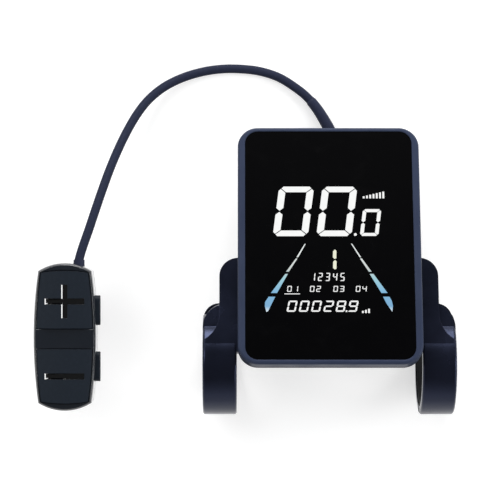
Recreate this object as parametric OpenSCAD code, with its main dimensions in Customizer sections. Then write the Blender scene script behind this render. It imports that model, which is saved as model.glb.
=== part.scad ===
// E-bike display on two hinged handlebar clamps, with a wired keypad on its own clamp.
// The origin is on the handlebar's axis, midway between the two display clamps.
// X runs along the handlebar, Z points out of the lying part, and all lengths are millimetres.

/* [Display housing] */
// Width of the display housing
disp_w = 72.4; // [68:0.1:80]
// Length of the display housing
disp_l = 97.5; // [94:0.5:110]
// Thickness of the display housing
disp_t = 13; // [12.5:0.25:16]
// Corner radius of the housing outline
disp_r = 8; // [7:0.25:10]
// Tilt of the display against the clamp's split plane, in degrees
tilt = 17; // [15:0.5:19]
// Depth of the front bezel, down to the parting line
bezel_depth = 4.5; // [4.2:0.1:5]
// Rounding of the bezel's front edge
bezel_round = 0.9; // [0.5:0.1:1.2]
// Straight side of the rear cover below the parting line
cover_side = 2; // [1:0.25:3]
// Inward slope of the rear cover, on each side
cover_taper = 3; // [1:0.25:3.5]
// Wall of the rear cover
cover_wall = 1.8; // [1.4:0.1:2.2]
// Width of the rim where bezel and rear cover meet
rim_w = 3; // [2.6:0.1:3.4]

/* [Glass and screen] */
// Bezel width beside the glass
bezel_side = 3; // [2.6:0.1:4]
// Bezel width above and below the glass
bezel_end = 1.8; // [1.5:0.1:2.5]
// Corner radius of the glass
glass_r = 5; // [3:0.25:6]
// Thickness of the cover glass
glass_t = 1.1; // [0.8:0.1:1.3]
// Depth of the glass below the bezel's edge
glass_sink = 0.2; // [0.1:0.05:0.4]
// Gap around the glass
glass_gap = 0.1; // [0.05:0.05:0.2]
// Thickness of the adhesive gasket behind the glass
gasket_t = 0.2; // [0.15:0.05:0.3]
// Width of the adhesive gasket
gasket_w = 2; // [1.5:0.1:2.2]
// Width of the glass's printed border beside the LCD panel
lcd_side = 6.2; // [5.8:0.1:9]
// Width of the glass's printed border above and below the LCD panel
lcd_end = 8.95; // [8.5:0.05:12]
// Thickness of the LCD panel
lcd_t = 1.6; // [1.2:0.1:1.7]
// Thickness of the backlight
backlight_t = 1.9; // [1.5:0.1:2]
// Width of the LCD frame's rim
frame_w = 2.8; // [2.5:0.1:2.9]
// Thickness of the main board
board_t = 1.2; // [1:0.1:1.6]

/* [Handlebar clamps] */
// Radius of the handlebar
bar_r = 15.9; // [15.4:0.1:16.4]
// Clear gap between the handlebar and the display's back
bar_gap = 1.25; // [1:0.05:2]
// Distance of the handlebar's axis from the display's lower edge
bar_v = 7.4; // [6:0.1:9]
// Thickness of the liner between bar and clamp
liner_t = 1; // [0.8:0.1:1.5]
// Wall of the clamp ring
clamp_wall = 3.3; // [3.1:0.1:4]
// Width of each clamp ring
clamp_w = 13.5; // [12:0.1:18]
// Gap between the display's side and the clamp ring
side_gap = 0.4; // [0.4:0.1:2]
// Rounding of the ring's outer edges
clamp_round = 1; // [0.5:0.1:1.2]
// Reach of the screw lug from the bar's axis
lug_reach = 24.3; // [24:0.1:26]
// Corner radius of the arm's screw lug
lug_r = 9; // [4:0.5:10]
// Corner radius of the cap's screw lug
cap_lug_r = 6.5; // [4:0.5:9]
// Height of the cap's screw lug
lug_h = 6; // [5:0.25:8]
// Open gap between the two clamp halves
split_gap = 1; // [0.6:0.1:1.6]
// Core radius of the clamp screw
clamp_screw_r = 1.2; // [1:0.05:1.25]
// Head radius of the clamp screw
clamp_head_r = 2.75; // [2.5:0.05:3]
// Head height of the clamp screw
clamp_head_h = 3; // [2:0.25:3]
// Radius of the hinge pin
pin_r = 0.9; // [0.8:0.05:1]
// Wall of the hinge knuckle
knuckle_wall = 0.8; // [0.7:0.05:0.9]

/* [Arms] */
// Width of the arm that shows beside the display, out from the ring's inner face
arm_w = 6.9; // [6:0.1:9]
// Length of the arm from the bar's axis to its upper end
arm_l = 38.6; // [36:0.2:50]
// Corner radius of the arm's upper end
arm_r = 7.5; // [5:0.5:8]
// Thickness of the foot under the rear cover
foot_t = 3; // [2.5:0.1:4]
// Width of the foot, in from the arm's outer side
foot_w = 18.5; // [17:0.5:20]
// Start of the foot from the bar's axis
foot_start = 17; // [16:0.5:18]
// Radius of the flare between arm and clamp ring
flare_r = 12; // [9:0.5:14]
// Distance of the flare's centre from the bar's axis
flare_v = 15.5; // [14:0.5:18]
// Core radius of the arm screws
arm_screw_r = 1.25; // [1:0.05:1.5]
// Head radius of the arm screws
arm_head_r = 2.7; // [2.2:0.1:3]
// Head height of the arm screws
arm_head_h = 1.7; // [1.2:0.1:2]

/* [Cable gland] */
// Width of the cable gland block
gland_w = 22; // [20:0.5:28]
// Length of the cable gland block
gland_l = 12; // [10:0.5:14]
// Distance of the gland's outer face from the display's upper edge
gland_inset = 8; // [6:0.5:10]
// Gap between the gland's flange and the axis of the case screws beside it
gland_post_gap = 3.8; // [2.8:0.1:5]
// Distance between the gland's two outlets
outlet_pitch = 9.4; // [9:0.2:11]
// Radius of the strain relief at its root
relief_r = 2.7; // [2.4:0.1:2.8]
// Bore radius of the empty lead outlet
lead_bore_r = 2; // [1.7:0.1:2.1]

/* [Keypad] */
// Greatest width of the keypad
key_w = 24.8; // [24:0.2:26]
// Length of the keypad
key_l = 58.4; // [57:0.2:60]
// Radius of the keypad's bulging sides
key_side_r = 190; // [170:5:220]
// Radius of the keypad's curved ends
key_end_r = 19.5; // [18:0.5:24]
// Height of the keypad's shell
key_h = 10; // [9.5:0.25:12]
// Wall of the keypad's shell
key_wall = 0.9; // [0.8:0.05:1]
// Thickness of the keypad's top deck
key_deck_t = 1.6; // [1.4:0.1:1.8]
// Thickness of the keypad's base plate
key_base_t = 1.8; // [1.5:0.1:2.2]
// Width of the rim beside the buttons
key_rim = 1.2; // [1.2:0.1:2]
// Width of the rim at the keypad's ends, in the middle
key_end_rim = 2.9; // [2:0.1:4]
// Radius of the buttons' outer edges
key_brow_r = 60; // [40:5:90]
// Height of the rounding at the shell's upper edge
key_round = 2.2; // [1.5:0.1:3]
// Length of the bridge between the two buttons
key_bridge = 7.7; // [7:0.1:9]
// Shift of the bridge, the marks and the side buttons from the keypad's middle
key_shift = -0.7; // [-1.2:0.1:0]
// Gap around each button
key_gap = 0.25; // [0.2:0.05:0.35]
// Rise of the buttons above the deck
key_rise = 1; // [0.6:0.1:1.4]
// Crown radius of the buttons
key_crown_r = 60; // [40:2:80]
// Length of the plus and minus marks across the buttons
mark_l = 15.6; // [12:0.2:18]
// Length of the plus mark along its button
mark_h = 13.2; // [10:0.2:16]
// Width of the marks' grooves
mark_w = 2.4; // [1.8:0.1:3]
// Press travel of the buttons
key_travel = 0.8; // [0.5:0.1:0.9]
// Length of each side button
side_key_l = 11.8; // [10:0.2:12]
// Height of each side button
side_key_h = 4; // [3.6:0.1:4]
// Distance of each side button from the keypad's middle
side_key_y = 11.1; // [11:0.1:12]
// Reach of the side buttons beyond the keypad's greatest width
side_key_out = 1.3; // [1:0.1:2]

/* [Keypad clamp] */
// Radius of the grip end of the handlebar
key_bar_r = 11.1; // [10.9:0.1:11.3]
// Thickness of the keypad clamp's liner
key_liner_t = 0.8; // [0.6:0.1:1]
// Wall of the keypad clamp's ring
key_ring_wall = 2.8; // [2.7:0.1:3.2]
// Width of the keypad clamp's ring
key_ring_w = 12; // [10:0.5:13]
// Reach of the keypad clamp's screw lug
key_lug_reach = 19; // [18.6:0.2:20]
// Height of the keypad clamp's lug on the cap
key_lug_h = 4.5; // [4:0.25:6]
// Core radius of the keypad clamp's screw
key_screw_r = 1; // [0.9:0.05:1.05]
// Head radius of the keypad clamp's screw
key_head_r = 2.2; // [2:0.1:2.3]
// Head height of the keypad clamp's screw
key_head_h = 1.8; // [1.5:0.1:2]
// Radius of the keypad clamp's hinge pin
key_pin_r = 0.8; // [0.7:0.05:0.85]
// Wall of the keypad clamp's knuckle
key_knuckle_wall = 0.7; // [0.6:0.05:0.8]

/* [Cord] */
// Diameter of the cord
cord_d = 3.6; // [3.2:0.1:4]

/* [Hidden] */
$fn = 64;

// Overrun of every cut past the face that it opens
cut = 1;
// A length larger than the whole part, for half spaces
far = 300;
// Running clearance of a hinge pin in the moving knuckle
pin_gap = 0.05;
// Clear swing around a hinge knuckle
swing_gap = 0.6;
// Half height that the liners leave free at the clamp's split
liner_end = 1;
// Amount by which a liner is narrower than its ring, on each side
liner_inset = 0.5;
// Share of the ring's width that the middle knuckle takes
mid_share = 0.4;
// Gap between neighbouring knuckles along the pin
knuckle_gap = 0.2;
// Wall of the threaded insert around its thread
insert_wall = 0.8;
// Clearance between the clamp screw's core and the insert's thread
thread_gap = 0.35;
// Length of the threaded insert
insert_l = 4;
// Reach of the clamp screw's tip past the insert's lower face
screw_bite = 3;
// Clearance of a screw shank in its hole
shank_gap = 0.2;
// Clearance around a sunk screw head
head_gap = 0.3;
// Share of a rounding that its middle point keeps free on each side
round_share = 0.29;
// Share of the keypad's rim that its rounding takes
rim_share = 0.7;

// Derived sizes of the display
axis_w = bar_r + bar_gap + disp_t;
cover_base_w = disp_w - 2 * cover_taper;
cover_base_l = disp_l - 2 * cover_taper;
cover_base_r = disp_r - cover_taper / 2;
glass_w = disp_w - 2 * bezel_side;
glass_l = disp_l - 2 * bezel_end;
lcd_w = glass_w - 2 * lcd_side;
lcd_l = glass_l - 2 * lcd_end;
ledge_top = -glass_sink - glass_t - gasket_t;
ledge_t = 1;
ledge_bottom = ledge_top - ledge_t;
lcd_top = -glass_sink - glass_t;
lcd_gap = 0.2;
frame_out_w = lcd_w + 2 * lcd_gap + 2 * frame_w;
frame_out_l = lcd_l + 2 * lcd_gap + 2 * frame_w;
frame_bottom = lcd_top - lcd_t - backlight_t - lcd_gap;
board_bottom = frame_bottom - board_t;
cover_floor = -disp_t + cover_wall;
mid_v = disp_l / 2;
seal_w = 1.2;
seal_t = 0.8;
post_inset_x = 7.5;
post_r = 2.4;
case_screw_r = 1;
case_head_r = 1.9;
case_head_h = 1.6;
post_x = disp_w / 2 - post_inset_x;
post_v = post_inset_x;
board_screw_r = 0.7;
board_head_r = 1.3;
board_head_h = 0.9;
board_screw_x = lcd_w / 2 + lcd_gap + frame_w / 2;
board_screw_v = lcd_l / 3.2;

// Derived sizes of the display clamps
clamp_ir = bar_r + liner_t;
clamp_or = clamp_ir + clamp_wall;
clamp_x = disp_w / 2 + side_gap + clamp_w / 2;
table_z = -clamp_or;
arm_in = disp_w / 2 - cover_taper / 4;
arm_out = disp_w / 2 + side_gap + arm_w;
arm_drop = 0.3;
arm_top = clamp_or - axis_w - arm_drop;
arm_bottom = -disp_t - foot_t;
arm_end = bar_v + arm_l;
lug_drop = 3;
foot_in = arm_out - foot_w;
foot_v0 = bar_v + foot_start;
foot_round = 3;
arm_screw_inset = 4.5;
arm_screw_x = foot_in + arm_screw_inset;
arm_screw_v1 = foot_v0 + arm_screw_inset;
arm_screw_v2 = arm_end - arm_screw_inset - 1.5 * arm_screw_r;
arm_boss_r = arm_screw_r + cover_wall;
arm_boss_h = 3;

// Derived sizes of the cable gland
gland_v = disp_l - gland_inset;
gland_out_y = (gland_v - bar_v) * cos(tilt) + (axis_w - disp_t) * sin(tilt);
gland_in_y = gland_out_y - gland_l;
gland_round = 2.5;
gland_ear = 6;
gland_x = post_x - gland_post_gap - gland_ear - gland_w / 2;
gland_floor = 0.8;
outlet_z = table_z + relief_r + gland_floor;
outlet_depth = 7;
cord_outlet_x = gland_x - outlet_pitch / 2;
lead_outlet_x = gland_x + outlet_pitch / 2;
gland_screw_r = 1;
gland_head_r = 1.9;
gland_flange_t = 2;
gland_screw_x = gland_w / 2 + gland_ear / 2;

// Derived sizes of the keypad
key_x = -104.3;
key_y = 11.6;
key_ir = key_bar_r + key_liner_t;
key_or = key_ir + key_ring_wall;
key_axis_z = table_z + key_or;
key_floor_z = key_axis_z + key_or;
key_flange_t = 1;
key_flange_w = 0.5;
key_flange_gap = 0.1;
key_flange_z = key_h - key_deck_t - key_flange_gap;
key_top_z = key_h + key_rise;
key_board_t = 1.2;
key_board_side = 4.6;
key_board_w = key_w - 2 * key_board_side;
key_board_r = 1.2;
switch_h = 3.2;
switch_w = 4;
side_switch_w = 2;
side_switch_h = 4;
membrane_t = 0.6;
membrane_z = key_board_t + switch_h;
pressed_z = key_flange_z - key_flange_t - key_travel;
side_key_z = pressed_z - key_flange_gap - key_flange_w - side_key_h / 2;
key_post_r = 1.9;
key_post_h = pressed_z - key_gap;
key_case_screw_r = 0.8;
key_screw_head_r = 1.6;
key_screw_x = key_w / 2 - key_wall - 1.5 * key_post_r;
key_screw_y = key_l / 2 - key_wall - 2.5 * key_post_r;
key_board_l = 2 * (key_screw_y - key_post_r - key_gap);
key_outlet_x = 5.3;
key_relief_r = 2.2;
key_outlet_z = pressed_z - key_flange_gap - key_relief_r;
key_relief_in = 2.4;
key_relief_l = 1.2;
// Place of the plus and minus switches, from the keypad's middle
top_switch_y = key_l / 4;
// Place of the marks, from the keypad's middle
mark_y = key_l / 4 + key_gap / 2;
mark_depth = 1.2;
// Sag of the keypad's bulging side at the outer end of a side button
side_sag = pow(side_key_y - key_shift + side_key_l / 2 + key_flange_w, 2) / (2 * key_side_r);
// Outer face of the side buttons' flanges, just inside the shell's wall
side_flange_x = key_w / 2 - key_wall - side_sag - key_flange_gap;

// Rounded plate outline with its lower edge on the X axis
module plate(w, l, r) {
    translate([-w / 2 + r, 0]) square([w - 2 * r, l]);
    translate([-w / 2, r]) square([w, l - 2 * r]);
    for (x = [-1, 1], y = [r, l - r]) translate([x * (w / 2 - r), y]) circle(r);
}

// Rounded plate outline centred on a point of the display's length
module mid_plate(w, l, r) {
    translate([0, mid_v - l / 2]) plate(w, l, r);
}

// Places its children in the display's frame: Y up the face and Z out of the glass
module on_display() {
    rotate([-tilt, 0, 0]) translate([0, -bar_v, axis_w]) children();
}

// Slab between two depths of the display's frame
module slab(low, high) {
    translate([0, 0, low]) linear_extrude(high - low) children();
}

// Four places of the case screws
module at_posts() {
    for (x = [-post_x, post_x], y = [post_v, disp_l - post_v]) translate([x, y, 0]) children();
}

// Places of the two arm screws on each side
module at_arm_screws() {
    for (x = [-arm_screw_x, arm_screw_x], y = [arm_screw_v1, arm_screw_v2])
        translate([x, y, 0]) children();
}

// Places of the screws that hold the main board to the LCD frame
module at_board_screws() {
    for (x = [-1, 1], y = [-1, 1])
        translate([x * board_screw_x, mid_v + y * board_screw_v, 0]) children();
}

module front_bezel() color("#2f3646") on_display() difference() {
    union() {
        difference() {
            hull() {
                slab(-bezel_depth, -bezel_round) plate(disp_w, disp_l, disp_r);
                slab(-bezel_round, -bezel_round * round_share)
                    mid_plate(disp_w - 2 * bezel_round * round_share, disp_l - 2 * bezel_round * round_share, disp_r);
                slab(-bezel_round, 0)
                    mid_plate(disp_w - 2 * bezel_round, disp_l - 2 * bezel_round, disp_r - bezel_round);
            }
            slab(-bezel_depth - cut, ledge_bottom)
                mid_plate(disp_w - 2 * rim_w, disp_l - 2 * rim_w, disp_r - rim_w / 2);
        }
        intersection() {
            at_posts() translate([0, 0, -bezel_depth]) cylinder(r = post_r, h = bezel_depth + ledge_bottom);
            slab(-bezel_depth, 0) plate(disp_w, disp_l, disp_r);
        }
    }
    slab(ledge_top, cut) mid_plate(glass_w + 2 * glass_gap, glass_l + 2 * glass_gap, glass_r + glass_gap);
    slab(-bezel_depth - cut, cut)
        mid_plate(lcd_w + 4 * lcd_gap, lcd_l + 4 * lcd_gap, lcd_gap * 4);
    at_posts() translate([0, 0, -bezel_depth - cut]) cylinder(r = case_screw_r, h = cut + bezel_depth + ledge_bottom);
}

module cover_glass() color("#07080b") on_display()
    slab(-glass_sink - glass_t, -glass_sink) mid_plate(glass_w, glass_l, glass_r);

module glass_gasket() color("#111111") on_display() slab(ledge_top, ledge_top + gasket_t) difference() {
    mid_plate(glass_w, glass_l, glass_r);
    mid_plate(glass_w - 2 * gasket_w, glass_l - 2 * gasket_w, glass_r - gasket_w / 2);
}

module lcd_panel() color("#14181c") on_display()
    slab(lcd_top - lcd_t, lcd_top) mid_plate(lcd_w, lcd_l, lcd_gap * 3);

module backlight() color("#e9edf0") on_display()
    slab(lcd_top - lcd_t - backlight_t, lcd_top - lcd_t) mid_plate(lcd_w, lcd_l, lcd_gap * 3);

module lcd_frame() color("#c9ccd0") on_display() difference() {
    slab(frame_bottom, ledge_bottom) mid_plate(frame_out_w, frame_out_l, frame_w / 2);
    slab(frame_bottom - cut, 0) mid_plate(lcd_w + 2 * lcd_gap, lcd_l + 2 * lcd_gap, lcd_gap * 4);
    at_posts() translate([0, 0, frame_bottom - cut]) cylinder(r = post_r + head_gap, h = disp_t);
    at_board_screws() translate([0, 0, frame_bottom - cut])
        cylinder(r = board_screw_r, h = cut + (ledge_bottom - frame_bottom) / 2);
}

module main_board() color("#1f6b3a") on_display() difference() {
    slab(board_bottom, frame_bottom) mid_plate(frame_out_w, frame_out_l, frame_w / 2);
    at_posts() translate([0, 0, board_bottom - cut]) cylinder(r = post_r + head_gap, h = disp_t);
    at_board_screws() translate([0, 0, board_bottom - cut])
        cylinder(r = board_screw_r + shank_gap, h = disp_t);
}

// One flat electronic component on the back of the main board, centred at x and v
module chip(x, v, w, l, h) {
    translate([x - w / 2, v - l / 2, board_bottom - h]) cube([w, l, h]);
}

// Sizes of the board's components
chip_w = 9;
chip_h = 1.4;
cap_r = 2;
cap_h = 2.6;
coin_r = 6.2;
// Share of the LCD panel's length between the board's middle and the coin cell
coin_share = 0.355;
coin_h = 2.4;
socket_w = 13;
socket_l = 5;
socket_h = 2.8;

module board_components() color("#2a2a2e") on_display() {
    chip(0, mid_v + chip_w, chip_w, chip_w, chip_h);
    chip(-1.6 * chip_w, mid_v + chip_w, chip_w / 2, chip_w * 0.6, chip_h);
    chip(1.5 * chip_w, mid_v + 1.4 * chip_w, chip_w / 2, chip_w / 2, chip_h);
    chip(gland_x, gland_v - 2.6 * socket_l, socket_w, socket_l, socket_h);
    for (i = [-1, 0, 1]) translate([i * 3 * cap_r, mid_v - 1.4 * chip_w, board_bottom - cap_h])
        cylinder(r = cap_r, h = cap_h);
    translate([0, mid_v - lcd_l * coin_share, board_bottom - coin_h]) cylinder(r = coin_r, h = coin_h);
}

module board_screws() color("#b9bcc2") on_display() at_board_screws() {
    translate([0, 0, board_bottom - board_head_h]) cylinder(r = board_head_r, h = board_head_h);
    translate([0, 0, board_bottom - board_head_h / 2])
        cylinder(r = board_screw_r, h = board_head_h / 2 + board_t + (ledge_bottom - frame_bottom) / 2);
}

// Sizes of the shallow grooves across the rear cover's back
rib_w = 1.2;
rib_h = 0.6;
rib_count = 5;
rib_pitch = 3.4;
rib_l = 26;

module rear_cover() color("#262c3a") on_display() difference() {
    union() {
        difference() {
            hull() {
                slab(-bezel_depth - cover_side, -bezel_depth) plate(disp_w, disp_l, disp_r);
                slab(-disp_t + cover_taper / 2, -disp_t + cover_taper)
                    mid_plate(cover_base_w + cover_taper, cover_base_l + cover_taper, cover_base_r);
                slab(-disp_t, -disp_t + cover_taper / 4) mid_plate(cover_base_w, cover_base_l, cover_base_r);
            }
            hull() {
                slab(-bezel_depth - cover_side, -bezel_depth + cut)
                    mid_plate(disp_w - 2 * rim_w, disp_l - 2 * rim_w, disp_r - rim_w / 2);
                slab(cover_floor, cover_floor + cover_wall)
                    mid_plate(cover_base_w - 2 * cover_wall, cover_base_l - 2 * cover_wall, cover_base_r - cover_wall / 2);
            }
        }
        at_posts() translate([0, 0, -disp_t]) cylinder(r = post_r, h = disp_t - bezel_depth);
        at_arm_screws() translate([0, 0, -disp_t]) cylinder(r = arm_boss_r, h = cover_wall + arm_boss_h);
    }
    slab(-bezel_depth - seal_t, -bezel_depth + cut) seal_ring();
    at_posts() {
        translate([0, 0, -disp_t - cut]) cylinder(r = case_screw_r + shank_gap, h = disp_t + cut);
        translate([0, 0, -disp_t - cut]) cylinder(r = case_head_r + head_gap, h = cut + case_head_h + head_gap);
    }
    at_arm_screws() translate([0, 0, -disp_t - cut]) cylinder(r = arm_screw_r, h = cut + arm_boss_h);
    for (i = [0:rib_count - 1])
        translate([-rib_l / 2, mid_v + (i - (rib_count - 1) / 2) * rib_pitch - rib_w / 2, -disp_t - cut])
            cube([rib_l, rib_w, cut + rib_h]);
    for (s = [-1, 1]) gland_screw_axis(s) translate([0, 0, -disp_t - cut])
        cylinder(r = gland_screw_r, h = cut + cover_wall / 2);
}

// Ring outline of the housing seal, in the middle of the rim
module seal_ring() difference() {
    mid_plate(disp_w - rim_w + seal_w, disp_l - rim_w + seal_w, disp_r - rim_w / 2 + seal_w / 2);
    mid_plate(disp_w - rim_w - seal_w, disp_l - rim_w - seal_w, disp_r - rim_w / 2 - seal_w / 2);
}

module case_seal() color("#3a3a3a") on_display()
    slab(-bezel_depth - seal_t, -bezel_depth) seal_ring();

module case_screws() color("#8d9096") on_display() at_posts() {
    translate([0, 0, -disp_t + head_gap]) cylinder(r = case_head_r, h = case_head_h);
    translate([0, 0, -disp_t + head_gap + case_head_h / 2])
        cylinder(r = case_screw_r, h = disp_t - head_gap - case_head_h / 2 + ledge_bottom - ledge_t / 2);
}

// Frame of one gland screw, square to the rear cover
module gland_screw_axis(side) {
    translate([gland_x + side * gland_screw_x, gland_v - gland_l / 2, 0]) children();
}

module cable_gland() color("#20242f") difference() {
    union() {
        intersection() {
            translate([gland_x, gland_in_y, table_z]) linear_extrude(far) plate(gland_w, gland_l, gland_round);
            on_display() translate([-far / 2, -far / 2, -disp_t - far]) cube([far, far, far]);
        }
        on_display() slab(-disp_t - gland_flange_t, -disp_t)
            translate([gland_x, gland_v - gland_l]) plate(gland_w + 2 * gland_ear, gland_l, gland_ear / 2);
    }
    for (x = [cord_outlet_x, lead_outlet_x])
        translate([x, gland_out_y - outlet_depth, outlet_z]) rotate([-90, 0, 0])
            cylinder(r = relief_r, h = outlet_depth + cut);
    for (s = [-1, 1]) on_display() gland_screw_axis(s)
        translate([0, 0, -disp_t - gland_flange_t - cut])
            cylinder(r = gland_screw_r + shank_gap, h = gland_flange_t + 2 * cut);
}

module gland_screws() color("#8d9096") for (s = [-1, 1]) on_display() gland_screw_axis(s) {
    translate([0, 0, -disp_t - gland_flange_t - case_head_h]) cylinder(r = gland_head_r, h = case_head_h);
    translate([0, 0, -disp_t - gland_flange_t - case_head_h / 2])
        cylinder(r = gland_screw_r, h = case_head_h / 2 + gland_flange_t + cover_wall / 2);
}

module main_lead_bushing() color("#15161a")
    translate([lead_outlet_x, gland_out_y - outlet_depth, outlet_z]) rotate([-90, 0, 0]) difference() {
        cylinder(r = relief_r, h = outlet_depth);
        translate([0, 0, cover_wall]) cylinder(r = lead_bore_r, h = outlet_depth);
    }

// Half space above (1) or below (-1) the clamp's split plane
module half(side) {
    translate([-far / 2, -far / 2, side > 0 ? split_gap / 2 : -far - split_gap / 2]) cube([far, far, far]);
}

// Ring around the X axis with rounded outer edges
module ring(ir, or, w, round) rotate([0, 90, 0]) rotate_extrude() {
    translate([ir, -w / 2]) square([or - ir - round, w]);
    translate([ir, -w / 2 + round]) square([or - ir, w - 2 * round]);
    for (s = [-1, 1]) translate([or - round, s * (w / 2 - round)]) circle(round);
}

// Cylinder along X, centred
module rod(r, w) rotate([0, 90, 0]) cylinder(r = r, h = w, center = true);

// Outline of a screw lug, from the bar's axis out, with its two corner radii
module lug_plan(w, reach, r_out, r_in) intersection() {
    lug_side(1, w, reach, r_out);
    lug_side(-1, w, reach, r_in);
}

// Plate that ends at the lug's right (1) or left (-1) side, with that side's upper corner round
module lug_side(side, w, reach, r) {
    translate([side > 0 ? -far : -w / 2, 0]) square([far + w / 2, reach - r]);
    translate([side > 0 ? -far : r - w / 2, 0]) square([far + w / 2 - r, reach]);
    translate([side * (w / 2 - r), reach - r]) circle(r);
}

// The two outer knuckles of a clamp's fixed half, set in from the ring's sides
module outer_knuckles(hinge_y, r, w, inset) translate([0, -hinge_y, 0]) difference() {
    rod(r, w - 2 * inset);
    rod(r + cut, w * mid_share + 2 * knuckle_gap);
}

// Cuts of a clamp's fixed half: bar seat, pin hole and room for the middle knuckle
module fixed_cuts(ir, hinge_y, p_r, k_r, w) {
    rod(ir, w + 4 * cut);
    translate([0, -hinge_y, 0]) rod(p_r, w + 2 * cut);
    translate([0, -hinge_y, 0]) rod(k_r + swing_gap, w * mid_share + 2 * knuckle_gap);
}

// A clamp's cap: half ring, lug, middle knuckle, screw hole and room for the outer knuckles
module cap(ir, or, w, round, reach, r_out, r_in, h, p_r, k_r, s_y, s_r, head_r, head_h) difference() {
    union() {
        intersection() {
            union() {
                ring(ir, or, w, round);
                translate([0, 0, -split_gap / 2 - h]) linear_extrude(h) lug_plan(w, reach, r_out, r_in);
            }
            half(-1);
        }
        translate([0, -or + k_r, 0]) rod(k_r, w * mid_share);
    }
    rod(ir, w + 2 * cut);
    translate([0, -or + k_r, 0]) rod(p_r + pin_gap, w + 2 * cut);
    for (s = [-1, 1]) translate([s * (w * mid_share / 2 + far / 2), -or + k_r, 0])
        rod(k_r + swing_gap, far);
    translate([0, s_y, -far]) cylinder(r = s_r + shank_gap, h = 2 * far);
    translate([0, s_y, -split_gap / 2 - h - far]) cylinder(r = head_r + head_gap, h = far + head_h / 2);
}

// A clamp screw with a hexagon socket, its tip just inside the insert
module clamp_screw(s_y, s_r, head_r, head_h, h) translate([0, s_y, 0]) difference() {
    union() {
        translate([0, 0, -split_gap / 2 - h - head_h / 2]) cylinder(r = head_r, h = head_h);
        translate([0, 0, -split_gap / 2 - h]) cylinder(r = s_r, h = h + split_gap + insert_gap + screw_bite);
    }
    translate([0, 0, -split_gap / 2 - h - head_h / 2 - cut]) cylinder(r = s_r, h = cut + head_h / 2, $fn = 6);
}

// Depth of the insert's lower face above the lug's face
insert_gap = 0.7;

// Threaded insert pressed into the fixed half
module insert(s_y, s_r) translate([0, s_y, split_gap / 2 + insert_gap]) difference() {
    cylinder(r = s_r + thread_gap + insert_wall, h = insert_l);
    translate([0, 0, -cut]) cylinder(r = s_r + thread_gap, h = insert_l + 2 * cut);
}

// Hole in the fixed half for the insert and the screw's tip
module insert_hole(s_y, s_r) translate([0, s_y, 0]) {
    cylinder(r = s_r + thread_gap + insert_wall, h = split_gap / 2 + insert_gap + insert_l);
    cylinder(r = s_r + thread_gap, h = split_gap / 2 + insert_gap + insert_l + screw_bite / 2);
}

// Half liner between the bar and one clamp half
module liner(r, ir, w, side) difference() {
    rod(ir, w - 2 * liner_inset);
    rod(r, w + 2 * cut);
    translate([-far / 2, -far / 2, side > 0 ? liner_end - far : -liner_end]) cube([far, far, far]);
}

knuckle_r = pin_r + knuckle_wall;
hinge_y = clamp_or - knuckle_r;
// Depth of the hinge pin's ends inside the ring's sides
pin_inset = clamp_round / 2;

// Outline of an arm in the display's frame, with its upper outer corner round
module arm_plan(inner, start) intersection() {
    union() {
        translate([-far, start]) square([far + arm_out, arm_end - arm_r - start]);
        translate([-far, start]) square([far + arm_out - arm_r, arm_end - start]);
        translate([arm_out - arm_r, arm_end - arm_r]) circle(arm_r);
    }
    translate([inner, start]) square([far, far]);
}

// Concave flare from the arm's outer side to the ring's outer side
module flare_plan() difference() {
    translate([clamp_x, bar_v]) square([clamp_w / 2 - clamp_round, flare_v]);
    translate([arm_out + flare_r, bar_v + flare_v]) circle(flare_r);
}

// Right arm: clamp half ring, screw lug, strap beside the display and foot under its back
module arm() difference() {
    union() {
        translate([clamp_x, 0, 0]) intersection() {
            ring(clamp_ir, clamp_or, clamp_w, clamp_round);
            half(1);
        }
        translate([clamp_x, 0, 0]) outer_knuckles(hinge_y, knuckle_r, clamp_w, clamp_round + knuckle_gap);
        intersection() {
            translate([clamp_x, 0, split_gap / 2]) linear_extrude(clamp_or) lug_plan(clamp_w, lug_reach, lug_r, foot_round);
            on_display() translate([0, 0, arm_top - lug_drop - far]) linear_extrude(far)
                translate([-far / 2, -far / 2]) square([far, far]);
        }
        on_display() slab(arm_bottom, arm_top) {
            arm_plan(arm_in, bar_v);
            flare_plan();
        }
        on_display() slab(arm_bottom, -disp_t) foot_plan();
    }
    translate([clamp_x, 0, 0]) fixed_cuts(clamp_ir, hinge_y, pin_r, knuckle_r, clamp_w);
    translate([clamp_x, 0, 0]) insert_hole(clamp_or, clamp_screw_r);
    on_display() for (y = [arm_screw_v1, arm_screw_v2])
        translate([arm_screw_x, y, arm_bottom - cut]) cylinder(r = arm_screw_r + shank_gap, h = cut + foot_t + cut);
}

// Outline of the foot under the rear cover, with round inner corners
module foot_plan() {
    arm_plan(foot_in + foot_round, foot_v0);
    translate([foot_in, foot_v0 + foot_round]) square([2 * foot_round, arm_end - foot_v0 - 2 * foot_round]);
    for (y = [foot_v0 + foot_round, arm_end - foot_round]) translate([foot_in + foot_round, y]) circle(foot_round);
}

// Places its children on the right (1) or, mirrored, the left (-1) clamp
module clamp_side(side) {
    if (side > 0) translate([clamp_x, 0, 0]) children();
    else mirror([1, 0, 0]) translate([clamp_x, 0, 0]) children();
}

module clamp_cap(side) clamp_side(side)
    cap(clamp_ir, clamp_or, clamp_w, clamp_round, lug_reach, cap_lug_r, foot_round, lug_h, pin_r, knuckle_r,
        clamp_or, clamp_screw_r, clamp_head_r, clamp_head_h);

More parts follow.
